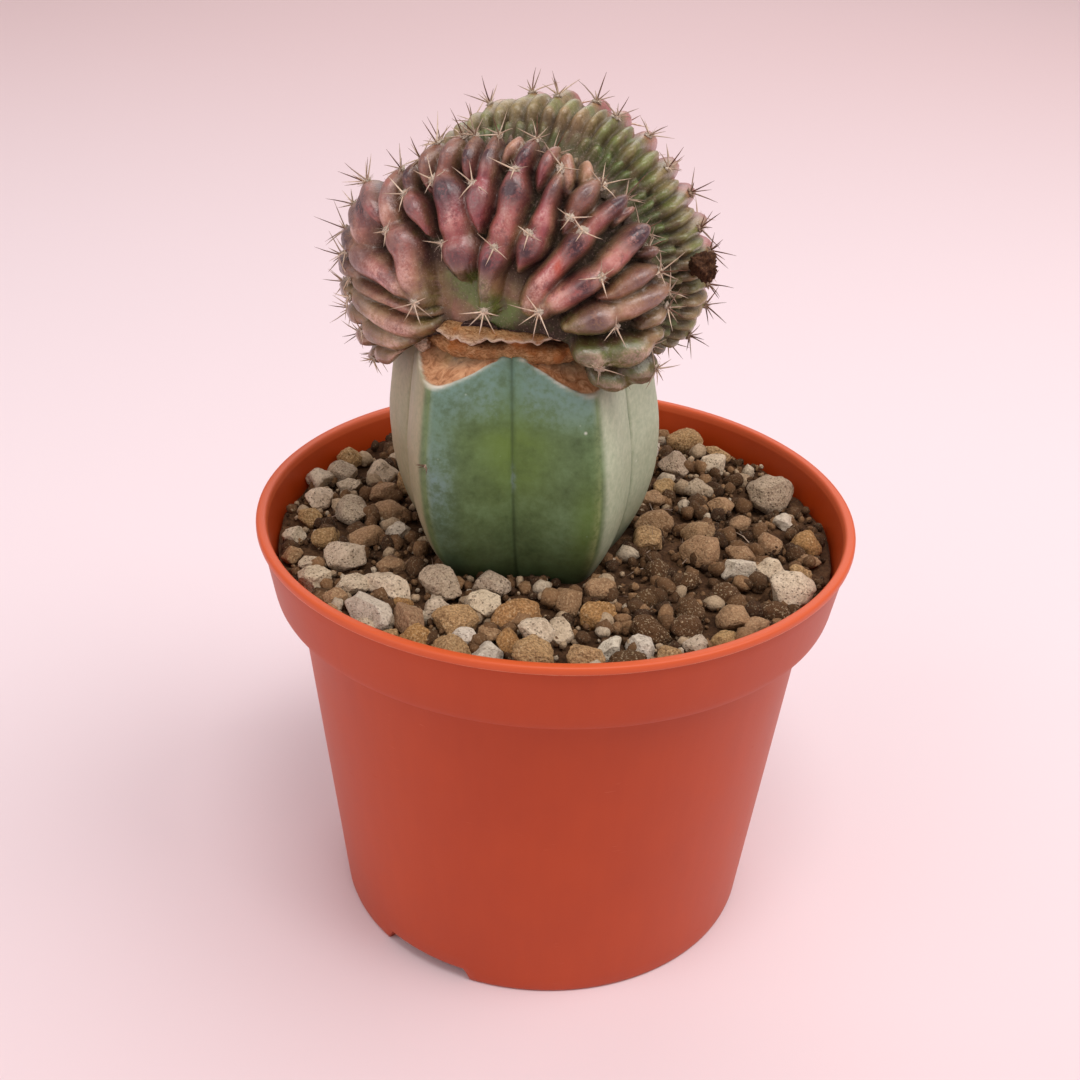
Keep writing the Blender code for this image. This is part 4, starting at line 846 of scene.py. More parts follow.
def ribField(across, up, ribs, seed):
    # height of the ribs over the valleys, and masks of what grows along them
    count = len(across)
    field = {name: np.zeros(count) for name in ("height", "blotch", "foot", "tip", "tone", "flank")}
    draw = np.random.default_rng(seed)
    for points, widths, areoles in ribs:
        path = smoothPath(points, widths)
        near = np.flatnonzero((across > path[:, 0].min() - 4) & (across < path[:, 0].max() + 4)
                              & (up > path[:, 1].min() - 4) & (up < path[:, 1].max() + 4))
        steps = np.linalg.norm(np.diff(path[:, :2], axis=0), axis=1)
        along = np.concatenate(((0,), np.cumsum(steps)))
        slope = np.gradient(path, axis=0)
        slope /= np.maximum(np.linalg.norm(slope[:, :2], axis=1, keepdims=True), 1e-9)
        x = across[near]
        y = up[near]
        gaps = np.hypot(x[:, None] - path[:, 0], y[:, None] - path[:, 1])
        at = np.argmin(gaps / path[:, 2], axis=1)
        offX = x - path[at, 0]
        offUp = y - path[at, 1]
        slide = np.clip(offX * slope[at, 0] + offUp * slope[at, 1], -crest["pathStep"], crest["pathStep"])
        slide = np.where((at == 0) | (at == len(path) - 1), 0, slide)
        gap = np.hypot(offX - slide * slope[at, 0], offUp - slide * slope[at, 1])
        s = along[at] + slide
        width = path[at, 2] + slide * slope[at, 2]
        swell = np.zeros(len(near))
        blotch = np.zeros(len(near))
        tone = draw.uniform(-1, 1)
        for place in areoles:
            here = along[np.argmin(np.hypot(path[:, 0] - place[0], path[:, 1] - place[1]))]
            strength = draw.uniform(0.8, 1.2)
            swell += strength * (0.13 * hump(s, here + 1.8, 1.3) - 0.2 * hump(s, here - 0.7, 0.9))
            spot = hump(s, here + 2, 1.9) * hump(gap, 0, 0.6 * width) * draw.uniform(0.6, 1.3)
            blotch = np.maximum(blotch, spot)
        half = width * crest["ribReach"] * (1 + 0.5 * swell)
        size = 0.45 + 0.55 * np.clip(width / 3.4, 0, 1)
        height = np.clip(1 - (gap / half) ** 2, 0, 1) ** crest["ribRound"] * size * (1 + 0.85 * swell)
        win = height > field["height"][near]
        length = along[-1]
        values = {
            "height": height, "blotch": blotch, "tone": np.full(len(near), tone),
            "foot": smoothStep(s, length - 4.5, length - 0.5) * (length > 7), "tip": hump(s, 0, 2.2),
            "flank": smoothStep(gap / half, 0.35, 0.85),
        }
        for name, value in values.items():
            field[name][near] = np.where(win, value, field[name][near])
    return field


crestLook = {
    "wine": (122, 54, 54), "rose": (176, 92, 90), "paleRose": (206, 132, 124), "sand": (188, 140, 108),
    "deepOlive": (92, 76, 40), "olive": (136, 116, 66), "paleOlive": (178, 152, 106), "magenta": (156, 46, 70),
    "pink": (204, 112, 110), "tanned": (184, 144, 106), "deepGreen": (72, 84, 30), "green": (112, 124, 50),
    "fresh": (104, 136, 56), "mottle": (88, 38, 44), "blotch": (62, 26, 36), "streak": (200, 84, 56),
    # on this line: the near-black is painted shade in the valleys, the two dark colours after it are painted shade on
    # the rib sides over their own brown and olive, and the pale pink is a painted highlight on the rib tops
    "crease": (34, 18, 12), "flank": (86, 46, 34), "flankOlive": (84, 74, 36), "crown": (240, 192, 180),
    "grey": (190, 160, 146), "pore": (240, 206, 188), "scurf": (230, 216, 190),
}


def crestFinish():
    finish = Finish("crestSkin", crestLook, Roughness=0.45, Specular_IOR_Level=0.5, Coat_Roughness=0.26)
    cloud = finish.noise(4.5, 4, 0.55)
    patch = finish.noise(1.5, 4, 0.6)
    speck = finish.noise(0.3, 3, 0.6)
    pores = finish.cells(0.4)
    tone = finish.mask("tone")
    blotch = finish.mask("blotch")
    dull = finish.mask("crease")
    rose = finish.ramp(cloud * 0.6 + patch * 0.4 + tone * 0.06,
                       [(0.28, "wine"), (0.44, "rose"), (0.6, "paleRose"), (0.74, "sand")])
    olive = finish.ramp(patch * 0.6 + cloud * 0.4 + tone * 0.05,
                        [(0.3, "deepOlive"), (0.5, "olive"), (0.7, "paleOlive")])
    skin = finish.mix(finish.mask("rose"), olive, rose)
    skin = finish.cover(skin, ("magenta", patch, 0.3, 0.6, (0.5, 1)), ("tanned", patch, 0.3, 0.65, (0.35, 0.95)))
    skin = finish.mix(finish.mask("green"), skin, finish.ramp(patch, [(0.3, "deepGreen"), (0.7, "green")]))
    # the second layer is a painted highlight: pale pink on the rib tops
    skin = finish.cover(skin, ("fresh", patch, 0.25, 0.6, (0.55, 1)),
                        ("crown", patch * 0.5 + speck * 0.5, 0.38, 0.62, (0.05, 0.55)))
    # painted shade: darker rib sides, in their own brown and olive
    flank = finish.mix(finish.between(cloud, 0.46, 0.58), "flank", "flankOlive")
    skin = finish.mix(finish.mask("flank") * finish.between(patch, 0.3, 0.65, (0.9, 0.5)), skin, flank)
    mottle = finish.between(finish.noise(2.3, 5, 0.65), 0.5, 0.6) * finish.mask("rose")
    skin = finish.mix(mottle * 0.5, skin, "mottle")
    skin = finish.cover(skin, ("pink", patch, 0.25, 0.6, (0.3, 0.85)))
    dark = blotch * finish.between(patch * 0.6 + speck * 0.4, 0.34, 0.55, (0.3, 0.95))
    skin = finish.mix(dark.clamped(), skin, "blotch")
    skin = finish.mix(finish.mask("streak"), skin, "streak")
    # painted shade: the valleys between the ribs painted near black
    skin = finish.mix(dull * 0.8, skin, "crease")
    grey = finish.between(speck, 0.5, 0.68) * finish.between(cloud, 0.35, 0.6)
    skin = finish.mix(grey * 0.22 * (1 - blotch), skin, "grey")
    skin = finish.mix(finish.between(pores, 0.0, 0.26, (1, 0)) * (0.26 - 0.22 * blotch), skin, "pore")
    skin = finish.cover(skin, ("scurf", finish.noise(0.8, 5, 0.7), 0.46, 0.6, (0, 1)))
    finish.into("Base Color", skin)
    finish.into("Roughness", 0.3 + 0.16 * patch + 0.4 * dull)
    finish.into("Coat Weight", 0.6 * (1 - dull).clamped())
    finish.bump(speck * 0.6 + patch * 0.9 + pores * 0.3, 0.18, 0.65)
    return finish


def makeCrest():
    bm = bmesh.new()
    bmesh.ops.create_uvsphere(bm, u_segments=crest["columns"], v_segments=crest["rows"], radius=1)
    globe = places(bm)
    around = np.arcsin(np.clip(globe[:, 2], -1, 1))
    fan = np.arctan2(globe[:, 0], globe[:, 1])
    poles = np.abs(globe[:, 2]) > 0.99999
    around = np.clip(around, radians(-89.6), radians(89.6))
    across, up = facePlace(fan, around)
    fanDegrees = np.degrees(fan)
    line = growthLine(fan)
    isFront = around < line
    field = {}
    frontField = ribField(across[isFront], up[isFront], allFrontRibs(), 3)
    backField = ribField(across[~isFront], up[~isFront], allBackRibs(), 4)
    for name in frontField:
        field[name] = np.zeros(len(fan))
        field[name][isFront] = frontField[name]
        field[name][~isFront] = backField[name]
    off = np.degrees(around - line)
    start = np.where(off < 0, (-off - crest["frontStart"][0]) / crest["frontStart"][1],
                     (off - crest["backStart"][0]) / crest["backStart"][1])
    height = field["height"] * (0.2 + 0.8 * smoothStep(start, 0, 1))
    # small tubercles side by side along the growth line, on both its sides
    bent = fanDegrees + 1.2 * wobble(globe * 30, 3, 9)
    bead = (0.5 + 0.5 * np.cos(2 * pi * (bent / 4.1 + 0.5 * (off > 0)))) ** 0.6
    row = hump(np.abs(off), 4.2, 2.9) * smoothStep(fanDegrees, -118, -100) * (1 - smoothStep(fanDegrees, 105, 120))
    rise = 0.5 + 0.22 * wobble(globe * 30, 2.2, 4)
    knobs = bead * row * rise
    knobby = knobs > height
    height = np.maximum(height, knobs)
    spots = crestSurface(fan, around)
    depth = crest["ribDepth"] * (1 - np.clip(height, 0, 1.04))
    rough = 0.05 * wobble(spots, 1.6, 6) + 0.03 * wobble(spots, 0.6, 7)
    spots = spots - crestNormal(fan, around) * (depth + 0.08 + rough)[:, None]
    # hollow over the graft
    flat = spots - np.array(crest["centre"])
    x = flat @ acrossAxis
    saddleAcross, saddleUp = zip(*crest["saddle"])
    roof = np.interp(x, saddleAcross, saddleUp) + 0.25 * wobble(spots, 1.5, 17)
    over = flat[:, 2] - roof
    soft = 0.5
    raised = roof + np.where(over > soft, over, np.where(over < -soft, 0, (over + soft) ** 2 / (4 * soft)))
    tucked = (x > saddleAcross[0]) & (x < saddleAcross[-1])
    spots[:, 2] = np.where(tucked, raised + crest["centre"].z, spots[:, 2])
    for pole in np.flatnonzero(poles):
        bm.verts.ensure_lookup_table()
        ring = [edge.other_vert(bm.verts[pole]).index for edge in bm.verts[pole].link_edges]
        spots[pole] = spots[ring].mean(axis=0)
    moveAll(bm, spots)
    bmesh.ops.recalc_face_normals(bm, faces=bm.faces)
    piece = makePiece(bm, "crestBody", crestFinish(), "crest")
    # where the colours lie
    ridge = np.clip(height, 0, 1)
    # valleys between the ribs: this mask paints shade there, and makes them rougher and without coat
    crease = 1 - smoothStep(ridge, 0.1, np.where(isFront, 0.62, 0.75))
    cloud = wobble(spots, 6, 31)
    lowRight = isFront * smoothStep(across, 6, 17) * smoothStep(-up, -5.5, 1.5)
    lowLeft = isFront * smoothStep(-across, 9, 16) * smoothStep(-up, -3.5, 1)
    middleFeet = isFront * smoothStep(-np.hypot((across + 1.2) * 0.55, up - 3), -5.6, -3)
    inner = (1 - isFront) * (1 - smoothStep(off, 20, 38))
    far = (1 - isFront) * smoothStep(off, 26, 44)
    nearLine = hump(off, 0, 6)
    rightSide = smoothStep(fanDegrees, 42, 66)
    masks = {
        "crease": crease * (1 - 0.85 * middleFeet) * (1 - 0.1 * inner),
        "green": np.clip(0.9 * middleFeet * smoothStep(cloud, -0.5, 0.1)
                         + 0.85 * lowRight * smoothStep(cloud, -0.6, 0.2)
                         + field["foot"] * isFront * 0.4 * smoothStep(-up, -7, -1)
                         + 0.3 * field["flank"] * isFront + inner * (0.5 + 0.4 * cloud), 0, 1),
        "rose": np.clip(0.82 - 0.8 * lowRight - 0.7 * lowLeft - 0.75 * inner + 0.3 * far + 0.6 * cloud, 0, 1),
        # painted highlight on the rib tops
        "crown": smoothStep(ridge, 0.8, 1) * np.clip(0.75 + 0.5 * wobble(spots, 2.6, 61) - 0.5 * inner, 0, 1),
        # painted shade on the sides of the ribs
        "flank": (1 - smoothStep(ridge, 0.5, 0.92)) * (1 - 0.6 * inner) * (1 - 0.9 * middleFeet),
        "magenta": np.clip(isFront * smoothStep(cloud, -0.25, 0.35) * smoothStep(up, 5, 10)
                           * smoothStep(ridge, 0.3, 0.7) * smoothStep(-np.abs(across - 1), -13, -8) * 0.95, 0, 1),
        "pink": ((1 - isFront) * smoothStep(off, 21, 34) * smoothStep(ridge, 0.25, 0.7)
                 * np.clip(0.75 + 0.5 * cloud, 0, 1)),
        "tanned": np.clip(field["tip"] * 0.6 + lowLeft * 0.6 + nearLine * 0.5 * (1 - 0.6 * rightSide)
                          + 0.35 * smoothStep(cloud, 0.1, 0.6) + field["tip"] * inner * 0.3, 0, 1),
        "fresh": np.clip(np.where(knobby, 0.9, 0) * (0.35 + 0.65 * smoothStep(cloud, -0.3, 0.4))
                         + inner * smoothStep(wobble(spots, 2.4, 51), 0.05, 0.5) * 0.5, 0, 1),
        "blotch": field["blotch"] * np.where(isFront, 1 - 0.45 * lowRight - 0.3 * lowLeft, 0.35),
        "streak": 0.85 * hump(across, 10.4, 0.5) * hump(up, 8.8, 1.1) * isFront,
        "scurf": isFront * hump(across, 15.6, 2.2) * hump(up, -4.2, 1),
        "tone": field["tone"],
    }
    for name, values in masks.items():
        addMask(piece, name, values)
    print("crest made")
    return piece


spines = {
    "radius": 0.12, "seed": 11, "sides": 5, "taper": ((0.35, 0.82), (0.7, 0.55), (1, 0.12)),
    "tuft": 0.6, "hairs": 22, "hairRadius": 0.035, "hairLengths": (0.6, 1.15), "crowded": (50, 110),
}


boneLook = {"pale": (222, 190, 158), "paleLight": (248, 228, 206), "brown": (74, 44, 32), "brownLight": (120, 76, 52)}
woolLook = {"dark": (176, 158, 138), "light": (226, 214, 198), "brown": (132, 92, 64)}


def boneFinish(name):
    finish = Finish(name, boneLook, Roughness=0.45, Specular_IOR_Level=0.4)
    fine = finish.noise(0.5, 2)
    dark = finish.mask("dark")
    pale = finish.ramp(fine, [(0.3, "pale"), (0.7, "paleLight")])
    brown = finish.ramp(fine, [(0.3, "brown"), (0.7, "brownLight")])
    finish.into("Base Color", finish.mix(dark, pale, brown))
    return finish


def woolFinish(name):
    finish = Finish(name, woolLook, Roughness=0.95, Specular_IOR_Level=0.1)
    fine = finish.noise(0.25, 4, 0.7)
    pale = finish.ramp(fine, [(0.3, "dark"), (0.65, "light")])
    finish.into("Base Color", finish.mix(finish.mask("brown"), pale, "brown"))
    finish.bump(fine, 0.15, 0.8)
    return finish


def spineTemplate():  # a needle along +Z, of unit length and radius
    bm = bmesh.new()
    bmesh.ops.create_circle(bm, segments=spines["sides"], radius=1, cap_ends=False)
    edges = list(bm.edges)
    for share, width in spines["taper"]:
        result = bmesh.ops.extrude_edge_only(bm, edges=edges)["geom"]
        edges = [part for part in result if isinstance(part, bmesh.types.BMEdge)]
        for vert in (part for part in result if isinstance(part, bmesh.types.BMVert)):
            vert.co = Vector((vert.co.x, vert.co.y, 0)).normalized() * width + Vector((0, 0, share))
    bmesh.ops.contextual_create(bm, geom=edges)
    bmesh.ops.recalc_face_normals(bm, faces=bm.faces)
    return templateMesh(bm, "needle")


def addSpine(bm, template, darkLayer, root, way, length, radius, bend, dark):
    turn = Vector((0, 0, 1)).rotation_difference(way).to_matrix()
    for vert in stamp(bm, template):
        share = vert.co.z
        straight = turn @ Vector((vert.co.x * radius, vert.co.y * radius, share * length))
        vert.co = root + straight + bend * (length * share * share)
        vert[darkLayer] = min(1, dark + 0.35 * share)


def meshWith(layerName):  # an empty mesh with one number for each vertex
    bm = bmesh.new()
    return bm, bm.verts.layers.float.new(layerName)


def areoleList():
    found = []
    for side, ribs in ((-1, allFrontRibs()), (1, allBackRibs())):
        for points, widths, areoles in ribs:
            path = smoothPath(points, widths)
            for spot in areoles:
                near = int(np.argmin(np.hypot(path[:, 0] - spot[0], path[:, 1] - spot[1])))
                after = path[min(near + 2, len(path) - 1)] - path[max(near - 2, 0)]
                found.append((side, np.array(spot), after[:2] / max(np.linalg.norm(after[:2]), 1e-6)))
    return found


def crestSpot(across, up, side):
    fan, around = anglesAt(across, up, side)
    return Vector(crestSurface(np.array(fan), np.array(around))), Vector(crestNormal(np.array(fan), np.array(around)))


def spineWays(side, spot, share, draw):
    # for each spine of an areole: angle from down the rib, lean from the normal, length; and how dark they are
    if side < 0 and spot[1] < 3.5 and abs(spot[0]) < 13:
        angles = (0, 40, -42, 88, -90)
        return [(a + draw.uniform(-8, 8), draw.uniform(62, 76), draw.uniform(2.7, 4)) for a in angles], 0.0
    if share < 0.86:
        angles = (5, 98, -102) if draw.uniform() < 0.6 else (-30, 75, -110, 190)
        return [(a + draw.uniform(-15, 15), draw.uniform(52, 72), draw.uniform(2, 3.5)) for a in angles], 0.08
    start = draw.uniform(0, 72)
    ways = [(start + a + draw.uniform(-15, 15), draw.uniform(42, 68), draw.uniform(2.2, 4))
            for a in (0, 72, 144, 216, 288)]
    return ways + [(draw.uniform(0, 360), draw.uniform(5, 25), draw.uniform(2.8, 4.4))], 0.3


def crestTop():  # nothing of the visual model stands higher than the part
    return cadBox[1][2] / mm - 0.15


def makeAreoles(crestPiece):
    draw = np.random.default_rng(spines["seed"])
    tree = BVHTree.FromPolygons([v.co / mm for v in crestPiece.data.vertices],
                                [tuple(p.vertices) for p in crestPiece.data.polygons])
    needle = spineTemplate()
    tuft = ball(3, spines["tuft"])
    crowdedFrom, crowdedTo = spines["crowded"]
    needles, darkLayer = meshWith("dark")
    wool, woolLayer = meshWith("brown")
    for side, spot, down in areoleList():
        place, normal = crestSpot(spot[0], spot[1], side)
        hit = tree.ray_cast(place + normal * 3, -normal, 9)[0]
        if hit is None:
            continue
        ahead, _ = crestSpot(spot[0] + down[0] * 0.5, spot[1] + down[1] * 0.5, side)
        along = ahead - place
        along = (along - normal * along.dot(normal)).normalized()
        share = hypot(*spot) / float(outlineRadius(np.arctan2(*spot), side * 1.0))
        ways, darkness = spineWays(side, spot, share, draw)
        crowded = side > 0 and share > 0.9 and crowdedFrom < np.degrees(np.arctan2(*spot)) < crowdedTo
        if crowded:
            darkness = 0.7
        base = hit + normal * 0.1
        for k, (angle, lean, length) in enumerate(ways):
            level = Matrix.Rotation(radians(angle), 3, normal) @ along
            way = (normal * cos(radians(lean)) + level * sin(radians(lean))).normalized()
            bend = Vector(draw.uniform(-0.12, 0.12, 3)) - normal * draw.uniform(0, 0.12)
            central = 0.55 if share > 0.86 and k == len(ways) - 1 else 0
            dark = min(1, max(0, darkness + draw.uniform(-0.25, 0.3) + central))
            root = base - way * 0.5
            room = (crestTop() - root.z) / max(way.z + bend.z, 0.01)
            addSpine(needles, needle, darkLayer, root, way, min(length + 0.5, room),
                     spines["radius"] * draw.uniform(0.85, 1.1), bend, dark)
        shift = draw.uniform(0, 50)
        turn = Vector((0, 0, 1)).rotation_difference(normal).to_matrix()
        broad = draw.uniform(0.9, 1.25) * (0.85 if share < 0.5 else 1)
        for vert in stamp(wool, tuft):
            curl = 0.85 + 0.5 * noise.noise(vert.co * 2.6 + Vector((shift, 0, 0))) + 0.45 * noise.noise(vert.co * 7)
            local = Vector((vert.co.x * curl * broad, vert.co.y * curl * broad, vert.co.z * 0.5 * curl))
            vert.co = hit + turn @ local
            vert[woolLayer] = 0.6 if crowded else 0.15
        for _ in range(spines["hairs"]):
            tip = (Vector(draw.normal(0, 1, 3)).normalized() + normal * 0.35).normalized()
            foot = hit + turn @ Vector((draw.uniform(-0.35, 0.35), draw.uniform(-0.35, 0.35), 0.05))
            hairBend = Vector(draw.uniform(-0.5, 0.5, 3))
            room = (crestTop() - foot.z) / max(tip.z + hairBend.z, 0.01)
            addSpine(wool, needle, woolLayer, foot, tip, min(draw.uniform(*spines["hairLengths"]), room),
                     spines["hairRadius"], hairBend, 0.6 if crowded else 0.1)
    makePiece(needles, "crestSpines", boneFinish("spineHorn"), "crest")
    makePiece(wool, "crestWool", woolFinish("areoleWool"), "crest")
    print("spines and wool made")


stockAreoles = {
    # on the rootstock's ribs: the rib's angle, and the height
    "places": ((-37, 77.2), (-110, 84.5), (106, 86), (106, 72), (178, 80), (178, 66)),
    "seed": 19, "tuft": 0.42, "spines": 5, "spineRadius": 0.09, "hairs": 14,
}


def makeStockAreoles():
    draw = np.random.default_rng(stockAreoles["seed"])
    needle = spineTemplate()
    tuft = ball(3, stockAreoles["tuft"])
    needles, darkLayer = meshWith("dark")
    wool, woolLayer = meshWith("brown")
    for angle, height in stockAreoles["places"]:
        out = direction(angle)
        place = stockAxis(height) + out * (float(stockRadius(height)) * 0.985)
        for vert in stamp(wool, tuft):
            curl = 0.8 + 0.5 * noise.noise(vert.co * 4 + out * 9)
            vert.co = place + Vector((vert.co.x, vert.co.y, vert.co.z * 1.2)) * curl
            vert[woolLayer] = 0.45
        for _ in range(stockAreoles["spines"]):
            way = (out * draw.uniform(0.5, 1) + Vector(draw.normal(0, 0.7, 3))).normalized()
            if way.dot(out) > 0.15:
                addSpine(needles, needle, darkLayer, place, way, draw.uniform(0.9, 1.9),
                         stockAreoles["spineRadius"], Vector((0, 0, 0)), 0.75)
        for _ in range(stockAreoles["hairs"]):
            way = (out * 0.6 + Vector(draw.normal(0, 0.6, 3))).normalized()
            addSpine(wool, needle, woolLayer, place, way, draw.uniform(0.4, 0.8), spines["hairRadius"],
                     Vector(draw.uniform(-0.4, 0.4, 3)), 0.3)
    makePiece(needles, "stockSpines", boneFinish("stockSpineHorn"), "stock")
    makePiece(wool, "stockWool", woolFinish("stockWool"), "stock")
    print("rootstock areoles made")


flower = {"angle": 75, "round": 0, "size": 1.7}
flowerLook = {"dark": (38, 24, 18), "middle": (82, 54, 38), "light": (130, 96, 68)}


def makeFlower():
    finish = Finish("driedFlower", flowerLook, Roughness=0.9, Specular_IOR_Level=0.15)
    fine = finish.noise(0.5, 5, 0.7)
    finish.into("Base Color", finish.ramp(fine, [(0.3, "dark"), (0.55, "middle"), (0.75, "light")]))
    finish.bump(fine, 0.3, 0.8)
    fan, around = np.array(radians(flower["angle"])), np.array(radians(flower["round"]))
    place = Vector(crestSurface(fan, around)) + Vector(crestNormal(fan, around)) * (flower["size"] * 0.3)
    bm = bmesh.new()
    bmesh.ops.create_icosphere(bm, subdivisions=5, radius=flower["size"])
    for vert in bm.verts:
        old = vert.co.copy()
        crumple = 1 + 0.5 * noise.noise(old * 0.9) + 0.3 * abs(noise.noise(old * 2.2)) + 0.18 * noise.noise(old * 5)
        vert.co = place + old * crumple * 0.94
    makePiece(bm, "driedFlower", finish, "crest")


gravel = {
    "height": 0.84, "wallGap": 0.6, "seed": 7, "lookSeed": 23, "more": 34, "moreSizes": (3.6, 6.4), "flats": 14,
    # place to the right and back, length, width, how far its length is turned, and the kind of stone
    "stones": (
        (-20.6, -31.2, 3, 2.6, 40, "tan"), (-17.2, -31.4, 4.6, 4, 60, "orange"), (-12.8, -34.2, 5, 4, 0, "tan"),
        (-8.2, -34.2, 5, 3.6, 80, "white"), (-2.2, -34.6, 5.4, 4.6, 0, "tan"),
        (-24.8, -28.4, 3.8, 2.8, -50, "pumice"), (-11, -31, 3.8, 3, 0, "white"),
        (-5.6, -31.2, 3.6, 3, 90, "orange"), (-8.2, -29.4, 3, 2.6, 0, "clay"), (-2, -29.6, 4.6, 4, 0, "pumice"),
        (-24, -25.2, 8.2, 4.2, -58, "white"), (-18.8, -26.6, 5.4, 4, -65, "clay"),
        (-12.2, -27.2, 6, 5, 20, "tan"), (-4.8, -25.2, 6.6, 4.2, 40, "orange"),
        (-15.4, -24.2, 4.2, 3.2, 30, "pumice"), (-9.2, -22.6, 5.6, 4.2, -50, "pumice"),
        (-32.2, -17.4, 5.8, 4.6, 10, "pumice"), (-27, -18.4, 4.6, 3.8, 80, "pumice"),
        (-22.2, -18.8, 7.2, 5, -40, "pumice"), (-15.2, -18.4, 6, 4.6, -60, "grey"),
        (-8.4, -17.8, 5.4, 4.4, -30, "grey"), (-29, -22, 3.2, 2.8, 0, "clay"),
        (-28.8, -11.8, 7, 5, -10, "pumice"), (-36.4, -11, 3.4, 2.8, 80, "clay"),
        (-22.6, -12.6, 4, 3.4, 10, "clay"), (-33.4, -12.6, 3.6, 3, 20, "pumice"),
        (-20, -22.6, 3, 2.4, 0, "orange"), (-29.6, -25.2, 2.6, 2.2, 50, "clay"), (4, -35, 5, 4.2, 0, "tan"),
        (9.6, -34.9, 4.6, 3.6, 0, "soil"), (14.8, -33.4, 3.4, 3, 0, "tan"), (17.6, -33, 2.2, 1.8, 0, "white"),
        (18.4, -30.4, 3.8, 3.2, 80, "pumice"), (22, -29.2, 3.8, 3.4, 20, "tan"),
        (26.7, -25.3, 3.6, 3, 0, "clay"), (7.2, -31.4, 4.2, 3.2, 70, "white"),
        (11.4, -31.4, 4.8, 3.6, -60, "white"), (1.1, -28.2, 4.4, 3.6, 80, "pumice"),
        (5.9, -24.4, 5, 4.2, 60, "orange"), (12.4, -27.2, 5, 4, -20, "soil"), (17.6, -26.4, 4, 3.4, 0, "soil"),
        (18.2, -22.2, 4.6, 4, 80, "soil"), (23.8, -23, 5, 4, -70, "clay"), (29.2, -21.4, 4, 3.2, -20, "soil"),
        (32.2, -16.8, 8, 5.6, 35, "pumice"), (2, -20.2, 5, 3.8, 80, "clay"), (6.2, -17.6, 4.2, 3.6, 60, "clay"),
        (25.4, -11, 5, 4, 65, "white"), (30, -11.4, 4.8, 3.8, 20, "pumice"), (34, -10.6, 3.4, 2.8, 80, "tan"),
        (20.6, -6, 6, 5, 70, "clay"), (26.2, -5.6, 4.2, 3.6, 0, "clay"), (12.2, -19, 3.6, 3, 40, "soil"),
        (23.2, -17.4, 4, 3.4, 0, "soil"), (14.4, -11.6, 3.8, 3.2, 70, "soil"),
        (18.2, -14.2, 3.2, 2.8, 0, "soil"), (36, -2, 4.8, 4.2, 60, "orange"), (30.6, -2.6, 4, 3.4, 90, "clay"),
        (35.8, -6.8, 2.8, 2.4, 0, "clay"), (21, 0.2, 4.8, 4.2, 0, "clay"), (31.6, 11, 8, 6, 50, "grey"),
        (33.6, 4.6, 3.4, 2.6, 80, "white"), (24.6, 22, 5.4, 4, 70, "pumice"), (20.6, 30.4, 5.4, 4.8, 0, "tan"),
        (19.2, 8, 3, 2.4, 90, "pumice"), (24.6, 9, 4, 3.4, 60, "clay"), (27, 3, 3.4, 2.8, 20, "clay"),
        (-36.4, 12, 4.6, 3.8, 80, "pumice"), (-27, 15.6, 5.4, 4.6, 70, "pumice"),
        (-35, 6, 4.6, 3.8, 70, "pumice"), (-29.6, 2, 6.2, 5.2, -50, "grey"),
        (-31.2, 10.6, 3.4, 2.8, 0, "pumice"), (-32.4, 19.4, 4, 3.4, 0, "tan"), (-32.4, -6, 4.4, 3.6, 60, "tan"),
        (-37.2, -5, 4.2, 3.2, 80, "pumice"), (-35.6, 0.4, 3.4, 3, 0, "tan"), (-26.8, -5.2, 4.8, 4, 20, "clay"),
        (-25.6, 8.8, 4.2, 3.6, 30, "clay"),
    ),
    # colour, how grainy, how pitted and how angular
    "kinds": {
        "pumice": ((242, 222, 198), 0.5, 1.0, 1.0), "white": ((246, 234, 218), 0.25, 0.6, 1.0),
        "grey": ((222, 200, 178), 0.9, 1.2, 0.95), "tan": ((228, 186, 134), 1.5, 0.4, 0.8),
        "orange": ((220, 168, 110), 1.4, 0.4, 0.75), "clay": ((204, 164, 126), 1.0, 0.5, 0.8),
        "soil": ((126, 92, 62), 2.0, 0.4, 0.6),
    },
}


earthLook = {"dark": (44, 28, 18), "middle": (84, 58, 38), "light": (132, 98, 68)}
stoneLook = {
    "dark": (168, 156, 142), "middle": (232, 228, 222), "light": (255, 252, 248), "dirt": (120, 88, 62),
    "pit": (104, 80, 60), "darkGrain": (112, 78, 48), "paleGrain": (244, 218, 176),
}


def earthFinish():
    finish = Finish("pottingSoil", earthLook, Roughness=0.95, Specular_IOR_Level=0.2)
    cloud = finish.noise(3, 5, 0.65)
    fine = finish.noise(0.5, 5, 0.7)
    colour = finish.ramp(cloud * 0.5 + fine * 0.5, [(0.3, "dark"), (0.5, "middle"), (0.72, "light")])
    finish.into("Base Color", colour)
    finish.bump(fine + cloud, 0.5, 0.9)
    return finish


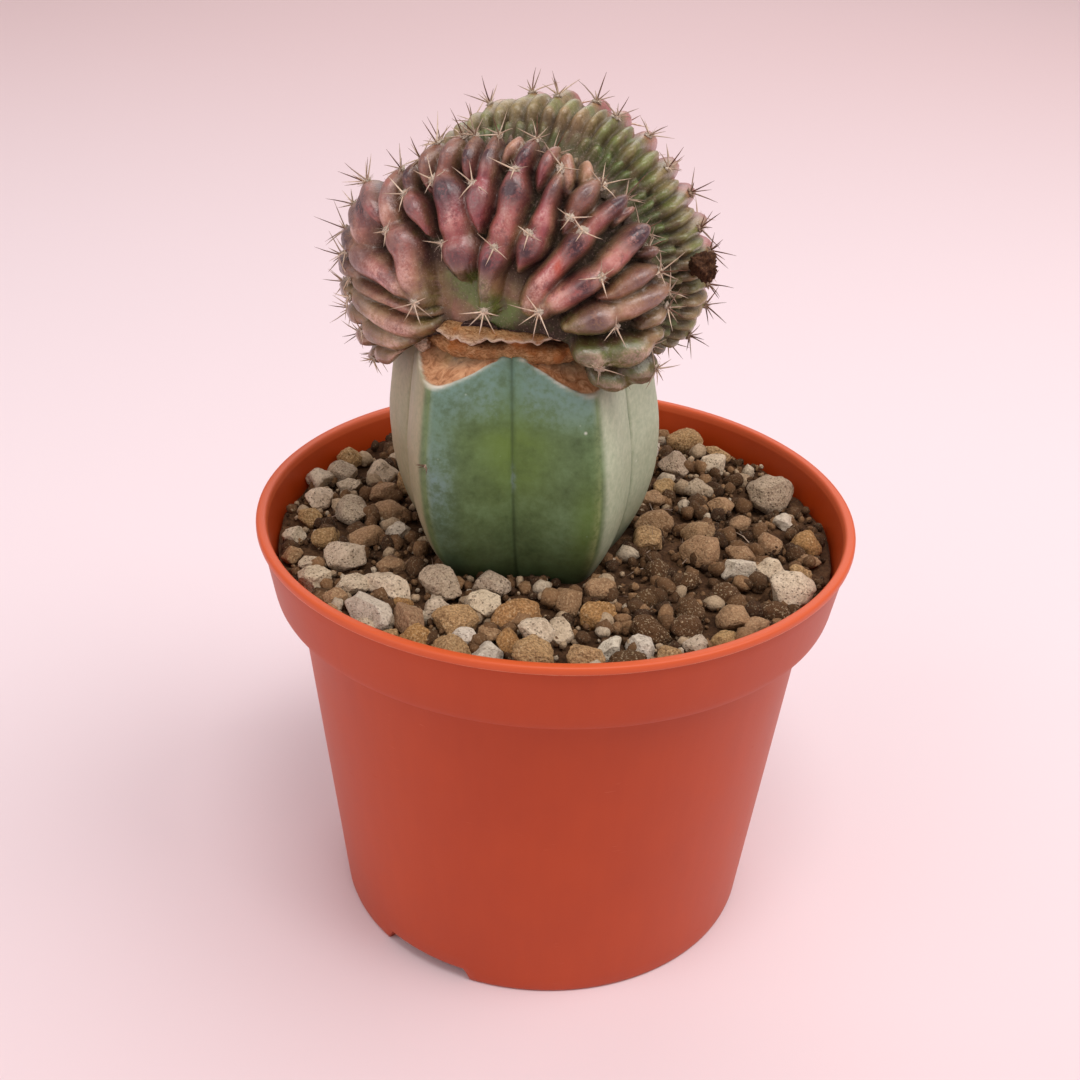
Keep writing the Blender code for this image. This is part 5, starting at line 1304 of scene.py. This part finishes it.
def stoneFinish():
    finish = Finish("gravelStone", stoneLook, Roughness=0.88, Specular_IOR_Level=0.25)
    cloud = finish.noise(1.8, 4, 0.6)
    fine = finish.noise(0.35, 5, 0.7)
    pits = finish.cells(0.5)
    tint = finish.tint("tint")
    grainy = finish.mask("grainy")
    shade = finish.ramp(cloud * 0.45 + fine * 0.55, [(0.25, "dark"), (0.5, "middle"), (0.75, "light")])
    colour = finish.mix(1.0, tint, shade, "MULTIPLY")
    dirt = finish.between(finish.noise(1.2, 5, 0.7), 0.5, 0.7) * 0.34
    colour = finish.mix(dirt, colour, "dirt")
    hollow = finish.between(pits, 0.1, 0.34, (1, 0)) * finish.mask("pitted")
    colour = finish.mix((hollow * 0.5).clamped(), colour, "pit")
    grains = finish.noise(0.3, 2, 0.6)
    darkGrains = (grainy * 0.34).clamped() * finish.between(grains, 0.5, 0.62)
    colour = finish.mix(darkGrains, colour, "darkGrain")
    paleGrains = (grainy * 0.3).clamped() * finish.between(grains, 0.34, 0.43, (1, 0))
    colour = finish.mix(paleGrains, colour, "paleGrain")
    finish.into("Base Color", colour)
    finish.bump(fine * (0.6 + grainy) + cloud * 0.7 + grains * grainy * 0.5 - hollow * 0.8, 0.45, 0.9)
    return finish


def stonePiece(bm, name, tints, grainy, pitted):
    piece = makePiece(bm, name, stoneFinish(), "soil")
    addTint(piece, "tint", tints)
    addMask(piece, "grainy", grainy)
    addMask(piece, "pitted", pitted)


def stockFoot():  # where the rootstock leaves the soil, and its radius there
    return stockAxis(pot["soilTop"]).xy.to_3d(), float(stockRadius(pot["soilTop"]))


def allStones(draw):
    stones = [stone[:5] for stone in gravel["stones"]]
    listed = len(stones)
    reach = innerRadius(pot["soilTop"]) - 0.8
    middle, foot = stockFoot()
    for _ in range(20000):
        if len(stones) == listed + gravel["more"]:
            break
        size = draw.uniform(*gravel["moreSizes"])
        place = direction(draw.uniform(70, 290)) * reach * sqrt(draw.uniform(0, 1))
        nearStock = (place - middle).length < foot + size * 0.55
        nearRim = place.length > reach - size * 0.6
        crowded = any(hypot(place.x - across, place.y - back) < 0.47 * (size + length)
                      for across, back, length, *_ in stones)
        if not (nearStock or nearRim or crowded):
            stones.append((place.x, place.y, size, size * draw.uniform(0.72, 0.92), draw.uniform(0, 180)))
    return stones


def bedHeight(spots):
    flat = spots * (1, 1, 0)
    height = 0.7 * softNoise(flat * 0.16) + 0.3 * wobble(flat, 2.4, 3) + 0.3 * wobble(flat, 1.1, 5)
    return pot["soilTop"] + height - 0.1


def bedAt(place):
    return float(bedHeight(np.array([place]))[0])


def makeBed():
    floorTop = pot["footHeight"] + pot["wall"] + 0.3
    profile = [(0, floorTop), (15, floorTop), (innerRadius(floorTop) - 1.1, floorTop), (innerRadius(30) - 0.6, 30),
               (innerRadius(51.9) - 0.6, 51.9), (innerRadius(54.1) - 1.1, 54.1), (innerRadius(58) - 0.5, 58)]
    reach = innerRadius(pot["soilTop"]) - 0.5
    profile += [(float(r), pot["soilTop"]) for r in np.linspace(reach, 0, 84)]
    bm = turnedBody(profile, 260)
    spots = places(bm)
    topped = spots[:, 2] > pot["soilTop"] - 0.1
    spots[topped, 2] = bedHeight(spots[topped])
    moveAll(bm, spots)
    makePiece(bm, "soilBed", earthFinish(), "soil")
    print("soil made")


def makeGravel():
    draw = np.random.default_rng(gravel["seed"])
    extra = np.random.default_rng(gravel["lookSeed"])
    stones = allStones(draw)
    kinds = [stone[5] for stone in gravel["stones"]]
    kinds += list(extra.choice(("pumice", "clay", "tan", "grey", "orange", "white"), len(stones) - len(kinds),
                               p=(0.34, 0.24, 0.14, 0.14, 0.07, 0.07)))
    corners = np.array([v.co for v in ball(1, 1).vertices])
    fineBall, coarseBall = ball(5, 0.5), ball(4, 0.5)
    bm = bmesh.new()
    tints, grainy, pitted = [], [], []
    for number, ((across, back, length, width, turn), kind) in enumerate(zip(stones, kinds)):
        factors = np.array([draw.uniform(1, 1.24) for _ in range(12)])
        tilt = draw.uniform(-0.3, 0.3)
        lift = draw.uniform(0.2, 0.4)
        colour, grain, pits, angular = gravel["kinds"][kind]
        near = number < 44 and back < -12
        verts = stamp(bm, fineBall if near and length > 4 else coarseBall)
        ways = np.array([v.co for v in verts]) * 2
        weights = np.exp(7 * (ways @ corners.T))
        radius = 0.5 * (weights @ factors) / weights.sum(axis=1)
        spots = ways * radius[:, None]
        for _ in range(gravel["flats"]):  # chipped flats
            flat = extra.normal(0, 1, 3)
            flat /= np.linalg.norm(flat)
            beyond = spots @ flat - extra.uniform(0.33, 0.49)
            spots -= flat * (np.maximum(beyond, 0) * angular)[:, None]
        seed = float(extra.uniform(0, 90))
        lumps = 0.1 * wobble(spots, 0.34, seed) + 0.026 * (grain + 0.3) * wobble(spots, 0.1, seed)
        lumps += 0.02 * (grain + 0.3) * wobble(spots, 0.045, seed)
        bites = smoothStep(wobble(spots, 0.2, seed + 7), 0.35, 0.75) * pits * 0.05
        spots = spots * (1.05 + lumps - bites)[:, None]
        shape = Matrix.Diagonal((length, width, width * gravel["height"], 1))
        turned = Matrix.Rotation(radians(turn), 4, "Z") @ Matrix.Rotation(tilt, 4, "X") @ shape
        whole = Matrix.Translation((across, back, pot["soilTop"] + width * lift)) @ turned
        spots = spots @ np.array(whole.to_3x3()).T + np.array(whole.translation)
        limit = np.array([innerRadius(z) - gravel["wallGap"] for z in spots[:, 2]])
        excess = float((np.hypot(spots[:, 0], spots[:, 1]) - limit).max())
        if excess > 0:
            spots[:, :2] -= np.array((across, back)) / hypot(across, back) * excess
        for vert, spot in zip(verts, spots):
            vert.co = spot
        shade = extra.uniform(0.88, 1.08)
        tinge = (shade, shade * extra.uniform(0.97, 1.02), shade * extra.uniform(0.94, 1.03), 1)
        linear = np.array(paint(*colour)) * tinge
        tints += [linear] * len(verts)
        grainy += [grain] * len(verts)
        pitted += [pits] * len(verts)
    stonePiece(bm, "gravelStones", tints, grainy, pitted)
    print("gravel made", len(stones))


crumbs = {
    "palette": ((98, 70, 46), (132, 98, 68), (168, 130, 94), (210, 184, 154), (76, 52, 34), (232, 214, 190)),
    "shares": (0.22, 0.22, 0.2, 0.13, 0.14, 0.09), "sharesRight": (0.34, 0.24, 0.12, 0.04, 0.24, 0.02),
    "tries": 3000, "seed": 41,
}


def makeCrumbs():
    draw = np.random.default_rng(crumbs["seed"])
    bm = bmesh.new()
    tints, grainy, pitted = [], [], []
    reach = innerRadius(pot["soilTop"]) - 1.2
    middle, foot = stockFoot()
    small, large = ball(1, 0.5), ball(2, 0.5)
    for k in range(crumbs["tries"]):
        place = direction(draw.uniform(0, 360)) * reach * sqrt(draw.uniform(0.08, 1))
        size = draw.uniform(0.4, 1.3) if k % 5 else draw.uniform(1.2, 2.8)
        if (place - middle).length < foot * 0.8:
            continue
        verts = stamp(bm, large if size > 1.2 else small)
        spot = Vector((place.x, place.y, 0))
        height = bedAt(spot) + size * draw.uniform(0.05, 0.35) + draw.uniform(0, 0.7)
        stretch = draw.uniform(0.7, 1.25, 3)
        turn = Matrix.Rotation(draw.uniform(0, 6.28), 3, Vector(draw.normal(0, 1, 3)).normalized())
        for vert in verts:
            rough = size * draw.uniform(0.82, 1.18)
            local = Vector((vert.co.x * stretch[0], vert.co.y * stretch[1], vert.co.z * stretch[2])) * rough
            vert.co = turn @ local + Vector((spot.x, spot.y, height))
        onRight = place.x > 10 and place.y > -26 and place.y < 12
        pick = int(draw.choice(6, p=crumbs["sharesRight"] if onRight else crumbs["shares"]))
        tints += [paint(*crumbs["palette"][pick])] * len(verts)
        grainy += [0.6] * len(verts)
        pitted += [0.0] * len(verts)
    stonePiece(bm, "soilCrumbs", tints, grainy, pitted)
    print("crumbs made")


roots = {"seed": 31, "tries": 46, "farthest": 33, "lengths": (1.6, 4.6), "radii": (0.05, 0.09)}


def makeRoots():  # fine dead roots and fibres in the soil
    draw = np.random.default_rng(roots["seed"])
    needle = spineTemplate()
    bm, darkLayer = meshWith("dark")
    middle, foot = stockFoot()
    for k in range(roots["tries"]):
        angle = draw.uniform(20, 120) if k % 3 else draw.uniform(0, 360)
        reach = draw.uniform(foot + 1, roots["farthest"])
        place = middle + direction(angle) * reach
        if place.length > innerRadius(pot["soilTop"]) - 5:
            continue
        place.z = bedAt(place) + draw.uniform(-0.2, 0.9)
        way = Vector((*draw.normal(0, 1, 2), draw.uniform(0.05, 0.5))).normalized()
        bend = Vector((*draw.uniform(-0.5, 0.5, 2), draw.uniform(-0.5, 0)))
        addSpine(bm, needle, darkLayer, place, way, draw.uniform(*roots["lengths"]), draw.uniform(*roots["radii"]),
                 bend, draw.uniform(0.1, 0.8))
    makePiece(bm, "soilRoots", boneFinish("deadRoot"), "soil")
    print("roots made")


makeCamera()
makeLights()
makeFloor()
makePot()
makeBed()
makeGravel()
makeCrumbs()
makeRoots()
makeStock()
makeStockAreoles()
makeCallus()
crestPiece = makeCrest()
makeAreoles(crestPiece)
makeFlower()
